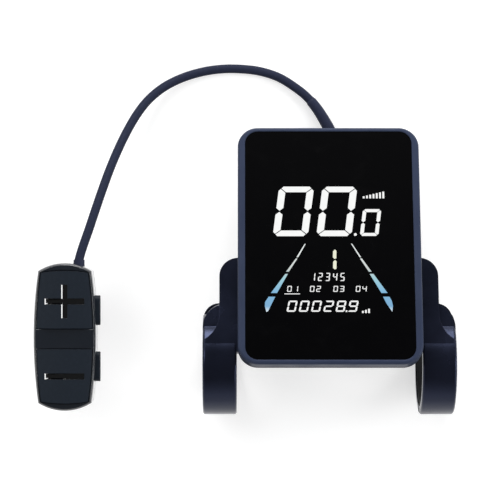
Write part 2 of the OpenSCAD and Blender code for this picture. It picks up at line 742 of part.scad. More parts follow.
module left_arm() color("#1c202b") mirror([1, 0, 0]) arm();
module right_arm() color("#1c202b") arm();
module left_clamp_cap() color("#1c202b") clamp_cap(-1);
module right_clamp_cap() color("#1c202b") clamp_cap(1);
module left_hinge_pin() color("#a9adb3") clamp_side(-1) translate([0, -hinge_y, 0]) rod(pin_r, clamp_w - 2 * pin_inset);
module right_hinge_pin() color("#a9adb3") clamp_side(1) translate([0, -hinge_y, 0]) rod(pin_r, clamp_w - 2 * pin_inset);
module left_clamp_screw() color("#a9adb3") clamp_side(-1)
    clamp_screw(clamp_or, clamp_screw_r, clamp_head_r, clamp_head_h, lug_h);
module right_clamp_screw() color("#a9adb3") clamp_side(1)
    clamp_screw(clamp_or, clamp_screw_r, clamp_head_r, clamp_head_h, lug_h);
module left_clamp_insert() color("#c8a24a") clamp_side(-1) insert(clamp_or, clamp_screw_r);
module right_clamp_insert() color("#c8a24a") clamp_side(1) insert(clamp_or, clamp_screw_r);
module left_upper_liner() color("#101114") clamp_side(-1) liner(bar_r, clamp_ir, clamp_w, 1);
module right_upper_liner() color("#101114") clamp_side(1) liner(bar_r, clamp_ir, clamp_w, 1);
module left_lower_liner() color("#101114") clamp_side(-1) liner(bar_r, clamp_ir, clamp_w, -1);
module right_lower_liner() color("#101114") clamp_side(1) liner(bar_r, clamp_ir, clamp_w, -1);

module arm_screws() color("#a9adb3") on_display() at_arm_screws() difference() {
    union() {
        translate([0, 0, arm_bottom - arm_head_h]) cylinder(r = arm_head_r, h = arm_head_h);
        translate([0, 0, arm_bottom - arm_head_h / 2])
            cylinder(r = arm_screw_r, h = arm_head_h / 2 + foot_t + arm_boss_h * 0.9);
    }
    translate([0, 0, arm_bottom - arm_head_h - cut]) cylinder(r = arm_screw_r, h = cut + arm_head_h / 2, $fn = 6);
}

// Barrel outline of the keypad, drawn in by a margin on all sides
module key_outline(margin) intersection() {
    translate([key_side_r - key_w / 2, 0]) circle(key_side_r - margin, $fn = 360);
    translate([key_w / 2 - key_side_r, 0]) circle(key_side_r - margin, $fn = 360);
    union() {
        for (s = [-1, 1]) translate([0, s * (key_l / 2 - key_end_r)]) circle(key_end_r - margin, $fn = 180);
        translate([-key_w, key_end_r - key_l / 2]) square([2 * key_w, key_l - 2 * key_end_r]);
    }
}

// Places its children in the keypad's frame, on the top of its base plate
module on_keypad() translate([key_x, key_y, key_floor_z]) children();

// Area of the upper (1) or lower (-1) button, drawn in by a margin
module button_area(side, margin) intersection() {
    key_outline(key_rim + margin);
    button_ends(side, margin);
}

// Area between a button's curved outer edge and the bridge, drawn in by a margin
module button_ends(side, margin) intersection() {
    translate([0, side * (key_l / 2 - key_end_rim - key_brow_r)]) circle(key_brow_r - margin, $fn = 360);
    translate([-far / 2, key_shift + (side > 0 ? key_bridge / 2 + margin : -far - key_bridge / 2 - margin)])
        square([far, far]);
}

// Stadium outline of a side button in Y and Z, grown by a margin
module side_key_outline(margin) {
    r = side_key_h / 2 + margin;
    run = side_key_l / 2 - side_key_h / 2;
    translate([-run, -r]) square([2 * run, 2 * r]);
    for (s = [-1, 1]) translate([s * run, 0]) circle(r);
}

// Bar along X with a side button's outline, from one X to another
module side_bar(side, margin, from, to) translate([from, side * side_key_y + key_shift, side_key_z])
    rotate([90, 0, 90]) linear_extrude(to - from) side_key_outline(margin);

module at_key_screws() {
    for (x = [-1, 1], y = [-1, 1]) translate([x * key_screw_x, y * key_screw_y, 0]) children();
}

module keypad_shell() color("#1b1f28") on_keypad() difference() {
    union() {
        difference() {
            hull() {
                linear_extrude(key_h - key_round) key_outline(0);
                linear_extrude(key_h - key_round * round_share) key_outline(rim_share * key_rim * round_share);
                linear_extrude(key_h) key_outline(rim_share * key_rim);
            }
            translate([0, 0, -cut]) linear_extrude(key_h - key_deck_t + cut) key_outline(key_wall);
        }
        intersection() {
            at_key_screws() cylinder(r = key_post_r, h = key_post_h);
            linear_extrude(key_post_h) key_outline(key_wall / 2);
        }
    }
    for (s = [-1, 1]) {
        translate([0, 0, key_h - key_deck_t - cut]) linear_extrude(key_deck_t + 2 * cut) button_area(s, 0);
        side_bar(s, key_gap, 0, key_w);
    }
    at_key_screws() translate([0, 0, -cut]) cylinder(r = key_case_screw_r, h = cut + key_h / 2);
    translate([key_outlet_x, key_l / 4, key_outlet_z]) rotate([-90, 0, 0]) cylinder(r = key_relief_r, h = key_l / 2);
}

// Bar seat, pin and screw places of the keypad's clamp
key_knuckle_r = key_pin_r + key_knuckle_wall;
key_hinge_y = key_or - key_knuckle_r;
key_lug_r = 3;
key_pin_inset = clamp_round / 4;

// Places its children on the axis of the keypad's clamp
module on_key_ring() translate([key_x, key_y, key_axis_z]) children();

module keypad_base() color("#171a22") difference() {
    union() {
        on_keypad() translate([0, 0, -key_base_t]) linear_extrude(key_base_t) key_outline(0);
        on_key_ring() {
            intersection() {
                ring(key_ir, key_or, key_ring_w, clamp_round / 2);
                half(1);
            }
            outer_knuckles(key_hinge_y, key_knuckle_r, key_ring_w, clamp_round / 2 + knuckle_gap);
            translate([0, 0, split_gap / 2]) linear_extrude(key_or - key_base_t)
                lug_plan(key_ring_w, key_lug_reach, key_lug_r, key_lug_r);
        }
    }
    on_key_ring() fixed_cuts(key_ir, key_hinge_y, key_pin_r, key_knuckle_r, key_ring_w);
    on_key_ring() insert_hole(key_or, key_screw_r);
    on_keypad() at_key_screws() {
        translate([0, 0, -key_base_t - cut]) cylinder(r = key_case_screw_r + shank_gap, h = key_base_t + 2 * cut);
        translate([0, 0, -key_base_t - cut]) cylinder(r = key_screw_head_r + head_gap, h = cut + key_base_t / 2);
    }
}

module keypad_screws() color("#8d9096") on_keypad() at_key_screws() {
    translate([0, 0, -key_base_t]) cylinder(r = key_screw_head_r, h = key_base_t / 2);
    translate([0, 0, -key_base_t / 2]) cylinder(r = key_case_screw_r, h = key_base_t / 2 + key_h / 2 - key_gap);
}

module keypad_seal() color("#2c2c2c") on_keypad() linear_extrude(membrane_t) difference() {
    key_outline(key_wall + key_flange_gap);
    key_outline(key_wall + key_flange_gap + seal_w / 2);
    at_key_screws() circle(key_post_r + key_gap);
}

module keypad_board() color("#1f6b3a") on_keypad() linear_extrude(key_board_t)
    translate([0, -key_board_l / 2]) plate(key_board_w, key_board_l, key_board_r);

module tact_switches() color("#b7babf") on_keypad() translate([0, 0, key_board_t]) for (s = [-1, 1]) {
    translate([-switch_w / 2, s * top_switch_y - switch_w / 2, 0]) cube([switch_w, switch_w, switch_h]);
    translate([key_board_w / 2 - side_switch_w, s * side_key_y + key_shift - switch_w / 2, 0])
        cube([side_switch_w, switch_w, side_switch_h]);
}

module button_membrane() color("#3b3e46") on_keypad() {
    for (s = [-1, 1]) translate([0, s * top_switch_y, membrane_z]) cylinder(r = switch_w, h = membrane_t);
    translate([-switch_w / 2, -top_switch_y, membrane_z]) cube([switch_w, 2 * top_switch_y, membrane_t]);
}

// A plus or minus button: crowned cap with a retaining flange and a plunger
module button(side) on_keypad() {
    intersection() {
        translate([0, 0, key_flange_z]) linear_extrude(key_top_z - key_flange_z) button_area(side, key_gap);
        translate([0, 0, key_top_z - key_crown_r]) rotate([90, 0, 0])
            cylinder(r = key_crown_r, h = far, center = true, $fn = 180);
    }
    translate([0, 0, key_flange_z - key_flange_t]) linear_extrude(key_flange_t) flange_plan(side);
    translate([0, side * top_switch_y, membrane_z + membrane_t + key_travel + key_gap])
        cylinder(r = switch_w / 2, h = key_flange_z - membrane_z - membrane_t - key_travel - key_gap);
}

// Outline of a button's flange, which slides inside the shell
module flange_plan(side) intersection() {
    key_outline(key_wall + key_flange_gap);
    button_ends(side, -key_flange_w);
}

// Groove of the plus (1) or minus (-1) mark, as deep as the button's crown allows
module mark(side) on_keypad() translate([0, side * mark_y + key_shift, key_top_z - mark_depth]) {
    translate([-mark_l / 2, -mark_w / 2, 0]) cube([mark_l, mark_w, mark_depth + cut]);
    if (side > 0) translate([-mark_w / 2, -mark_h / 2, 0]) cube([mark_w, mark_h, mark_depth + cut]);
}

module plus_button() color("#262e39") difference() {
    button(1);
    mark(1);
}

module minus_button() color("#262e39") difference() {
    button(-1);
    mark(-1);
}

// A side button: stadium cap through the wall, flange inside and plunger
module side_button(side) on_keypad() {
    side_bar(side, 0, side_flange_x - key_flange_t, key_w / 2 + side_key_out);
    side_bar(side, key_flange_w, side_flange_x - key_flange_t, side_flange_x);
}

module power_button() color("#232934") side_button(1);
module mode_button() color("#232934") side_button(-1);

module keypad_clamp_cap() color("#171a22") on_key_ring()
    cap(key_ir, key_or, key_ring_w, clamp_round / 2, key_lug_reach, key_lug_r, key_lug_r, key_lug_h, key_pin_r,
        key_knuckle_r, key_or, key_screw_r, key_head_r, key_head_h);

module keypad_hinge_pin() color("#a9adb3") on_key_ring() translate([0, -key_hinge_y, 0]) rod(key_pin_r, key_ring_w - 2 * key_pin_inset);
module keypad_clamp_screw() color("#a9adb3") on_key_ring()
    clamp_screw(key_or, key_screw_r, key_head_r, key_head_h, key_lug_h);
module keypad_clamp_insert() color("#c8a24a") on_key_ring() insert(key_or, key_screw_r);
module keypad_upper_liner() color("#101114") on_key_ring() liner(key_bar_r, key_ir, key_ring_w, 1);
module keypad_lower_liner() color("#101114") on_key_ring() liner(key_bar_r, key_ir, key_ring_w, -1);

// The cord's route from the display's gland to the keypad: its ends follow the two outlets
ROUTE = [
    [cord_outlet_x, gland_out_y, outlet_z], [3.2, 86, -16.8], [2.9, 90, -17.1], [1.6, 94.5, -17.4],
    [-0.8, 99, -17.7], [-3.4, 103.2, -17.9], [-6.6, 107.2, -18.05], [-11, 111.2, -18.2], [-18.9, 116.3, -18.3],
    [-27, 119, -18.3], [-35.4, 120, -18.3], [-43.6, 119.9, -18.3], [-51.6, 118.6, -18.2], [-59.4, 116.1, -17.5],
    [-66.4, 112.4, -16], [-72.6, 107.2, -13.6], [-76.8, 101.6, -10.9], [-80.8, 94.4, -7.2], [-84.4, 86.4, -2.8],
    [-87.6, 78, 1.7], [-90.3, 69.8, 5.8], [-92.8, 61.8, 9.2], [-95.3, 53.8, 11.6], [-97.6, 47, 12.8],
    [key_x + key_outlet_x, key_y + key_l / 2 + key_relief_l, key_floor_z + key_outlet_z]
];
// Number of route points that the display's strain relief covers
relief_points = 7;
// Curve steps between two route points
route_steps = 2;
// Sides of the cord and of the strain relief
cord_sides = 8;
// Share of the cord's radius by which the relief is thicker at its free end
relief_tip_share = 0.16;

// Point of a smooth curve through b and c, at a share t of the way between them
function curve(a, b, c, d, t) =
    b + (c - a) * t / 2 + (2 * a - 5 * b + 4 * c - d) * t * t / 2 + (3 * b - a - 3 * c + d) * t * t * t / 2;

// Smooth points from one route point to another
function smooth(from, to) = [
    for (i = [from:to - 1], k = [0:route_steps - 1])
        curve(ROUTE[max(i - 1, 0)], ROUTE[i], ROUTE[i + 1], ROUTE[min(i + 2, len(ROUTE) - 1)], k / route_steps),
    ROUTE[to]
];

// Direction of the path at one of its points; the row's Y axis where the path meets an outlet
function heading(points, i, first, last) =
    i == 0 && first ? [0, 1, 0]
    : i == len(points) - 1 && last ? [0, -1, 0]
    : let (d = points[min(i + 1, len(points) - 1)] - points[max(i - 1, 0)]) d / norm(d);

// One ring of points around a path's point
function ring_points(centre, dir, r) =
    let (side = cross([0, 0, 1], dir), u = side / norm(side), v = cross(dir, u))
    [for (j = [0:cord_sides - 1]) centre + r * (cos(360 * j / cord_sides) * u + sin(360 * j / cord_sides) * v)];

// Tube along a path whose radius runs evenly from r1 to r2
module tube(points, r1, r2, first, last) {
    n = len(points);
    s = cord_sides;
    polyhedron(
        points = [
            for (i = [0:n - 1])
                each ring_points(points[i], heading(points, i, first, last), r1 + (r2 - r1) * i / (n - 1))
        ],
        faces = concat(
            [for (j = [1:s - 2]) [0, j, j + 1]],
            [for (j = [1:s - 2]) [(n - 1) * s, (n - 1) * s + j + 1, (n - 1) * s + j]],
            [for (i = [0:n - 2], j = [0:s - 1]) [i * s + j, (i + 1) * s + j, i * s + (j + 1) % s]],
            [for (i = [0:n - 2], j = [0:s - 1]) [i * s + (j + 1) % s, (i + 1) * s + j, (i + 1) * s + (j + 1) % s]]
        )
    );
}

module display_strain_relief() color("#171a22") {
    translate([cord_outlet_x, gland_out_y - outlet_depth, outlet_z]) rotate([-90, 0, 0])
        cylinder(r = relief_r, h = outlet_depth);
    tube(smooth(0, relief_points - 1), relief_r, cord_d / 2 * (1 + relief_tip_share), true, false);
}

module keypad_strain_relief() color("#171a22") on_keypad()
    translate([key_outlet_x, key_l / 2 - key_relief_in, key_outlet_z]) rotate([-90, 0, 0])
        cylinder(r = key_relief_r, h = key_relief_in + key_relief_l);

module cord() color("#343850")
    tube(smooth(relief_points - 1, len(ROUTE) - 1), cord_d / 2, cord_d / 2, false, true);

front_bezel();
cover_glass();
glass_gasket();
lcd_panel();
lcd_frame();
backlight();
main_board();
board_components();
board_screws();
rear_cover();
case_seal();
case_screws();
cable_gland();
gland_screws();
display_strain_relief();
main_lead_bushing();
left_arm();
right_arm();
arm_screws();
left_clamp_cap();
right_clamp_cap();
left_hinge_pin();
right_hinge_pin();
left_clamp_screw();
right_clamp_screw();
left_clamp_insert();
right_clamp_insert();
left_upper_liner();
right_upper_liner();
left_lower_liner();
right_lower_liner();
keypad_shell();
keypad_base();
keypad_seal();
keypad_screws();
keypad_board();
tact_switches();
button_membrane();
plus_button();
minus_button();
power_button();
mode_button();
keypad_clamp_cap();
keypad_hinge_pin();
keypad_clamp_screw();
keypad_clamp_insert();
keypad_upper_liner();
keypad_lower_liner();
keypad_strain_relief();
cord();
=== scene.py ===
"""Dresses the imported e-bike display for its studio picture.

The CAD nodes keep their shapes and get procedural finishes. The cord, the tapered strain relief, the lit segments
of the screen, the trays in the buttons' marks and the knurling of the clamp screws are made here. Lengths in this
file are millimetres unless a name says otherwise, and they turn into metres where a mesh is made.
"""

from __future__ import annotations

import logging
import math
from abc import ABC, abstractmethod
from collections.abc import Mapping, Sequence
from dataclasses import dataclass
from enum import Enum

import bpy
from mathutils import Matrix, Vector

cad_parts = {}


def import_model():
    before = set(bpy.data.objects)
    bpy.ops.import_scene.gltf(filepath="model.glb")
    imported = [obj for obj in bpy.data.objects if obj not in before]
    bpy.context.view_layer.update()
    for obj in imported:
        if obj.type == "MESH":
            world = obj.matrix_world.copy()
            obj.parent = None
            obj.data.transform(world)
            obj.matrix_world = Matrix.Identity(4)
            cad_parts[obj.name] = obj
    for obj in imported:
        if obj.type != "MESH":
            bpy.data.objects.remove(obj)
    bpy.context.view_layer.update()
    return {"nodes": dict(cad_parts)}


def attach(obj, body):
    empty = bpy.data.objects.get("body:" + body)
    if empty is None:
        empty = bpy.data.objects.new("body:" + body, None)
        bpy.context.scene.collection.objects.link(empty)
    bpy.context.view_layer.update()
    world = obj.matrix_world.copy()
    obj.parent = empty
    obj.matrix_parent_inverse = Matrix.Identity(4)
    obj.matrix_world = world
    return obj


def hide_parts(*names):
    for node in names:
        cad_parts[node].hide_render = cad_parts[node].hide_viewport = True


LOG = logging.getLogger("e_bike_display")

Point = tuple[float, float, float]
Flat = tuple[float, float]
Face = tuple[int, ...]
MeshData = tuple[list[Point], list[Face]]
Tree = bpy.types.NodeTree
Socket = bpy.types.NodeSocket
Material = bpy.types.Material

MM = 0.001
TABLE_Z = -20.2
TILT = math.radians(17.0)
BAR_FROM_LOWER_EDGE = 7.4
BAR_BELOW_FACE = 30.15
KEYPAD_ORIGIN = (-104.3, 11.6, 9.2)
GLAND_EXIT = (3.2, 83.529, -16.7)


class Place(Enum):
    """A frame in which a sub-assembly is drawn."""

    ROW = "row"
    DISPLAY = "display"
    KEYPAD = "keypad"

    def matrix(self) -> Matrix:
        """Gives the place's matrix, from its own millimetres to the row frame's metres.

        Returns:
            The 4x4 matrix that a vertex is multiplied with.
        """
        to_metres = Matrix.Scale(MM, 4)
        if self is Place.DISPLAY:
            lift = Matrix.Translation((0.0, -BAR_FROM_LOWER_EDGE, BAR_BELOW_FACE))
            return to_metres @ Matrix.Rotation(-TILT, 4, "X") @ lift
        if self is Place.KEYPAD:
            return to_metres @ Matrix.Translation(KEYPAD_ORIGIN)
        return to_metres


def linear(code: str) -> tuple[float, float, float, float]:
    """Turns an sRGB hex colour into the linear colour that a shader reads.

    Args:
        code: Six hexadecimal digits, with or without a leading mark.

    Returns:
        Linear red, green, blue and an alpha of one.
    """
    digits = code.lstrip("#")
    parts = [int(digits[i : i + 2], 16) / 255 for i in (0, 2, 4)]
    red, green, blue = (p / 12.92 if p <= 0.04045 else ((p + 0.055) / 1.055) ** 2.4 for p in parts)
    return red, green, blue, 1.0


def add_node(
    tree: Tree, kind: str, inputs: Mapping[str | int, object] | None = None, **settings: object
) -> bpy.types.Node:
    """Adds one node to a tree, with its settings, its values and its links.

    Args:
        tree: The shader or geometry tree.
        kind: The node's type name.
        inputs: Values or output sockets for the node's inputs, by name or number.
        **settings: The node's own properties.

    Returns:
        The new node.
    """
    node = tree.nodes.new(kind)
    for name, value in settings.items():
        setattr(node, name, value)
    for key, value in (inputs or {}).items():
        if isinstance(value, Socket):
            tree.links.new(value, node.inputs[key])
        else:
            node.inputs[key].default_value = value
    return node


def result(tree: Tree, kind: str, inputs: Mapping[str | int, object] | None = None, **settings: object) -> Socket:
    """Adds a node and gives its first output."""
    return add_node(tree, kind, inputs, **settings).outputs[0]


def added(name: str, data: bpy.types.ID) -> bpy.types.Object:
    """Adds an object with this data to the scene."""
    thing = bpy.data.objects.new(name, data)
    bpy.context.scene.collection.objects.link(thing)
    return thing


def maths(tree: Tree, operation: str, first: object, second: object) -> Socket:
    """Works out one operation on two numbers or sockets."""
    return result(tree, "ShaderNodeMath", {0: first, 1: second}, operation=operation)


def vector(tree: Tree, x: object = 0.0, y: object = 0.0, z: object = 0.0) -> Socket:
    """Joins three numbers or sockets into a vector."""
    return result(tree, "ShaderNodeCombineXYZ", {"X": x, "Y": y, "Z": z})


def spread(tree: Tree, value: Socket, target: Sequence[object], source: Sequence[object] = (0.0, 1.0)) -> Socket:
    """Spreads a value's source range over its target range, whose ends are numbers or sockets."""
    limits = zip(("From Min", "From Max", "To Min", "To Max"), (*source, *target))
    return result(tree, "ShaderNodeMapRange", {"Value": value, **dict(limits)})


def per_metre(size_mm: float) -> float:
    """Gives the texture scale at which a pattern's feature has a real size in millimetres."""
    return 1.0 / (size_mm * MM)


def noise(tree: Tree, place: Socket, size_mm: float, **inputs: float) -> Socket:
    """Gives a noise pattern whose features have a real size; its other inputs go by name."""
    return result(tree, "ShaderNodeTexNoise", {"Vector": place, "Scale": per_metre(size_mm), **inputs})


def blend(tree: Tree, factor: Socket, start: str, end: str) -> Socket:
    """Blends two sRGB hex colours. A Mix node's colours are its inputs 6 and 7, and their blend its output 2."""
    values = {0: factor, 6: linear(start), 7: linear(end)}
    return add_node(tree, "ShaderNodeMix", values, data_type="RGBA").outputs[2]


def bumped(tree: Tree, height: Socket, depth_mm: float, strength: float, edge_mm: float) -> Socket:
    """Bumps a surface whose sharp edges look rounded.

    Args:
        tree: The shader tree.
        height: The pattern of the bump.
        depth_mm: How deep the pattern is.
        strength: How much of it shows.
        edge_mm: The radius of the edges.

    Returns:
        The surface's normal.
    """
    edge = result(tree, "ShaderNodeBevel", {"Radius": edge_mm * MM}, samples=6)
    values = {"Height": height, "Strength": strength, "Distance": depth_mm * MM, "Normal": edge}
    return result(tree, "ShaderNodeBump", values)


def new_shader(name: str) -> tuple[Material, Tree, Socket]:
    """Starts an empty node material.

    Args:
        name: The material's name.

    Returns:
        The material, its tree and the Object coordinates that its patterns read.
    """
    material = bpy.data.materials.new(name)
    material.use_nodes = True
    tree = material.node_tree
    tree.nodes.clear()
    return material, tree, add_node(tree, "ShaderNodeTexCoord").outputs["Object"]


def close_shader(tree: Tree, inputs: Mapping[str, object]) -> None:
    """Ends a material's tree in one Principled shader with these inputs."""
    shader = add_node(tree, "ShaderNodeBsdfPrincipled", inputs)
    add_node(tree, "ShaderNodeOutputMaterial", {"Surface": shader.outputs[0]})


@dataclass(frozen=True)
class Finish(ABC):
    """What a piece is made of."""

    name: str

    @abstractmethod
    def look(self, tree: Tree, place: Socket) -> dict[str, object]:
        """Builds the finish's patterns.

        Args:
            tree: The material's tree.
            place: The Object coordinates.

        Returns:
            The inputs of the Principled shader, by name.
        """

    def material(self) -> Material:
        """Builds the node material.

        Returns:
            The finished material.
        """
        material, tree, place = new_shader(self.name)
        close_shader(tree, self.look(tree, place))
        return material


@dataclass(frozen=True)
class MouldedPlastic(Finish):
    """Injection-moulded plastic from an eroded mould: fine even grain that breaks up a broad soft highlight."""

    colour: str
    worn_colour: str
    roughness: float = 0.42
    roughness_spread: float = 0.08
    grain_mm: float = 0.35
    grain_depth_mm: float = 0.02
    cloud_mm: float = 14.0
    edge_mm: float = 0.25
    coat: float = 0.0
    coat_roughness: float = 0.06
    ior: float = 1.5
    specular: float = 0.5
    tint: str = "#ffffff"

    def look(self, tree: Tree, place: Socket) -> dict[str, object]:
        """Builds the mould's grain and the broad clouds of wear over it."""
        grain = noise(tree, place, self.grain_mm, Detail=3.0, Roughness=0.6)
        cloud = noise(tree, place, self.cloud_mm, Detail=4.0)
        limits = (self.roughness - self.roughness_spread, self.roughness + self.roughness_spread)
        return {
            "Base Color": blend(tree, cloud, self.colour, self.worn_colour),
            "Roughness": spread(tree, cloud, limits, (0.3, 0.7)),
            "IOR": self.ior,
            "Specular IOR Level": self.specular,
            "Specular Tint": linear(self.tint),
            "Coat Weight": self.coat,
            "Coat Roughness": self.coat_roughness,
            "Normal": bumped(tree, grain, self.grain_depth_mm, 0.6, self.edge_mm),
        }


@dataclass(frozen=True)
class SoftRubber(Finish):
    """Silicone or moulded rubber: a soft bloom at grazing angles, with fine specks of dust."""

    colour: str
    bloom_colour: str
    roughness: float = 0.55
    speck_mm: float = 0.5
    grain_depth_mm: float = 0.015
    edge_mm: float = 0.2
    sheen: float = 0.15
    specular: float = 0.5

    def look(self, tree: Tree, place: Socket) -> dict[str, object]:
        """Builds the grain and the cells of dust, which are three times the specks' size."""
        grain = noise(tree, place, self.speck_mm, Detail=2.0)
        cells = result(tree, "ShaderNodeTexVoronoi", {"Vector": place, "Scale": per_metre(self.speck_mm * 3)})
        dust = spread(tree, cells, (0.55, 0.15), (0.0, 0.5))
        return {
            "Base Color": blend(tree, dust, self.colour, self.bloom_colour),
            "Roughness": self.roughness,
            "IOR": 1.45,
            "Specular IOR Level": self.specular,
            "Sheen Weight": self.sheen,
            "Sheen Roughness": 0.5,
            "Normal": bumped(tree, grain, self.grain_depth_mm, 0.5, self.edge_mm),
        }


@dataclass(frozen=True)
class PrintedGlass(Finish):
    """Cover glass printed black from behind: deep black under a hard clear surface with faint finger haze."""

    colour: str
    roughness: float = 0.06
    haze_mm: float = 9.0
    haze: float = 0.1

    def look(self, tree: Tree, place: Socket) -> dict[str, object]:
        """Builds the haze, which only dulls the surface."""
        haze = noise(tree, place, self.haze_mm, Detail=6.0, Distortion=0.6)
        return {
            "Base Color": linear(self.colour),
            "Roughness": spread(tree, haze, (self.roughness, self.roughness + self.haze), (0.45, 0.75)),
            "IOR": 1.5,
            "Specular IOR Level": 0.2,
        }


@dataclass(frozen=True)
class TurnedMetal(Finish):
    """Machined metal with fine turning marks that stretch its highlights."""

    colour: str
    roughness: float = 0.3
    line_mm: float = 0.12
    line_depth_mm: float = 0.01
    stretch: float = 8.0
    edge_mm: float = 0.12

    def look(self, tree: Tree, place: Socket) -> dict[str, object]:
        """Builds the turning marks: a noise that is squeezed along Z."""
        squeezed = result(tree, "ShaderNodeMapping", {"Vector": place, "Scale": (1.0, 1.0, self.stretch)})
        lines = noise(tree, squeezed, self.line_mm * self.stretch, Detail=2.0)
        return {
            "Base Color": linear(self.colour),
            "Metallic": 1.0,
            "Roughness": spread(tree, lines, (self.roughness - 0.08, self.roughness + 0.1)),
            "Normal": bumped(tree, lines, self.line_depth_mm, 0.25, self.edge_mm),
        }


@dataclass(frozen=True)
class SolderMask(Finish):
    """Printed circuit board: lacquer over copper tracks that show as paler lines."""

    colour: str
    track_colour: str
    cell_mm: float = 4.0

    def look(self, tree: Tree, place: Socket) -> dict[str, object]:
        """Builds the tracks along the edges of cells."""
        values = {"Vector": place, "Scale": per_metre(self.cell_mm)}
        edges = result(tree, "ShaderNodeTexVoronoi", values, feature="DISTANCE_TO_EDGE")
        mask = spread(tree, edges, (1.0, 0.0), (0.04, 0.09))
        return {"Base Color": blend(tree, mask, self.colour, self.track_colour), "Roughness": 0.3, "IOR": 1.5}


@dataclass(frozen=True)
class LitCrystal(Finish):
    """A lit liquid-crystal segment: dark glass with light of its own."""

    @abstractmethod
    def glow(self, tree: Tree, place: Socket) -> Socket:
        """Builds the colour of the light, from the tree and its Object coordinates."""

    def look(self, tree: Tree, place: Socket) -> dict[str, object]:
        """Builds the glass and its light."""
        return {
            "Base Color": linear("#0a0a0a"),
            "Roughness": 0.3,
            "Emission Color": self.glow(tree, place),
            "Emission Strength": 1.0,
        }


@dataclass(frozen=True)
class LitSegment(LitCrystal):
    """Even light with a slight mottling."""

    colour: str
    shade: str
    mottle_mm: float = 1.5

    def glow(self, tree: Tree, place: Socket) -> Socket:
        """Builds the mottled colour."""
        return blend(tree, noise(tree, place, self.mottle_mm, Detail=2.0), self.colour, self.shade)


@dataclass(frozen=True)
class FadingSegment(LitCrystal):
    """Light whose colour changes up the screen, with a stop for each colour and height."""

    stops: tuple[tuple[str, float], ...]

    def glow(self, tree: Tree, place: Socket) -> Socket:
        """Builds the colour ramp."""
        axes = add_node(tree, "ShaderNodeSeparateXYZ", {"Vector": place})
        heights = [(Place.DISPLAY.matrix() @ Vector((0.0, up, 0.0))).y for _, up in self.stops]
        share = spread(tree, axes.outputs["Y"], (0.0, 1.0), (heights[0], heights[-1]))
        fade = add_node(tree, "ShaderNodeValToRGB", {"Fac": share})
        ramp = fade.color_ramp.elements
        while len(ramp) < len(self.stops):
            ramp.new(0.5)
        for stop, (code, _), height in zip(ramp, self.stops, heights):
            stop.position = (height - heights[0]) / (heights[-1] - heights[0])
            stop.color = linear(code)
        return fade.outputs[0]


# Slate-blue ABS of the bezel, satin as moulded: a cool sheen that follows the rounded edge
BEZEL_ABS = MouldedPlastic(
    "bezel_abs", "#2c3346", "#343c51", roughness=0.36, grain_mm=0.3, edge_mm=0.6, specular=0.12, tint="#d6dfff"
)
# Darker glass-filled ABS of the rear cover and gland, a coarser grain
COVER_ABS = MouldedPlastic("rear_cover_abs", "#1a1f2c", "#212736", roughness=0.5, grain_mm=0.5, specular=0.35)
# Near-black glass-filled nylon of the arms and clamps, polished where it was moulded: small cold flashes
CLAMP_NYLON = MouldedPlastic(
    "clamp_nylon", "#0f1118", "#141621", roughness=0.22, grain_mm=0.4, edge_mm=0.3, specular=0.42, tint="#b4c4ff"
)
# Polished black polycarbonate of the keypad's shell: pale lines where it turns down
SHELL_POLYCARBONATE = MouldedPlastic(
    "keypad_polycarbonate", "#10151c", "#161c25", roughness=0.16, roughness_spread=0.04, grain_depth_mm=0.003,
    edge_mm=0.6, coat=1.0, ior=1.585,
)
# Glossy near-black lining in the marks' grooves: its near-black colour is painted shade of the groove, and it is
# smooth enough to flash at its drafted edges
MARK_SHADE_LACQUER = MouldedPlastic(
    "mark_painted_shade_lacquer", "#020304", "#040507", roughness=0.12, roughness_spread=0.03, grain_depth_mm=0.001,
    edge_mm=0.02, coat=1.0, ior=1.7,
)
BUTTON_SILICONE = SoftRubber("button_silicone", "#171e27", "#1e2630", roughness=0.5, sheen=0.0, specular=0.2)
CORD_PVC = SoftRubber("cord_pvc", "#262a3b", "#303548", roughness=0.5, speck_mm=0.4, sheen=0.0, specular=0.05)
RELIEF_RUBBER = SoftRubber("strain_relief_rubber", "#262a3d", "#31364b", roughness=0.5, sheen=0.0, specular=0.12)
LINER_RUBBER = SoftRubber("liner_rubber", "#0f1013", "#191a1e", roughness=0.7)
GASKET_FOAM = SoftRubber("gasket_foam", "#141414", "#222222", roughness=0.85, speck_mm=0.3)
COVER_GLASS = PrintedGlass("printed_cover_glass", "#030304")
SCREEN_GLASS = PrintedGlass("liquid_crystal_glass", "#0b0e11", roughness=0.12)
ZINC_STEEL = TurnedMetal("zinc_plated_steel", "#b8bcc2")
BLACK_STEEL = TurnedMetal("blackened_steel", "#3a3c42", roughness=0.35)
INSERT_BRASS = TurnedMetal("turned_brass", "#c9a24c", roughness=0.28)
DIFFUSER = MouldedPlastic("backlight_diffuser", "#dfe3e6", "#e9ecee", roughness=0.5)
BOARD = SolderMask("green_solder_mask", "#135231", "#2f8052")
COMPONENTS = MouldedPlastic("component_epoxy", "#1d1d20", "#29292d", roughness=0.45)
SWITCH_CASE = MouldedPlastic("switch_case", "#8c9096", "#a2a6ac", roughness=0.4)
WHITE_SEGMENT = LitSegment("white_segment", "#fdfdfb", "#eef0f0")
PALE_SEGMENT = LitSegment("pale_yellow_segment", "#eff0dc", "#e4e6cc")
# Lane marks that pass from a pale tip over blue beside the rider to white ahead
LANE_SEGMENT = FadingSegment(
    "lane_segment",
    (
        ("#dbe9f1", 20.9), ("#79abd0", 23.2), ("#7db4d8", 29.0), ("#9ccbd6", 34.5), ("#c9cfcc", 38.5),
        ("#e9efee", 45.0),
    ),
)

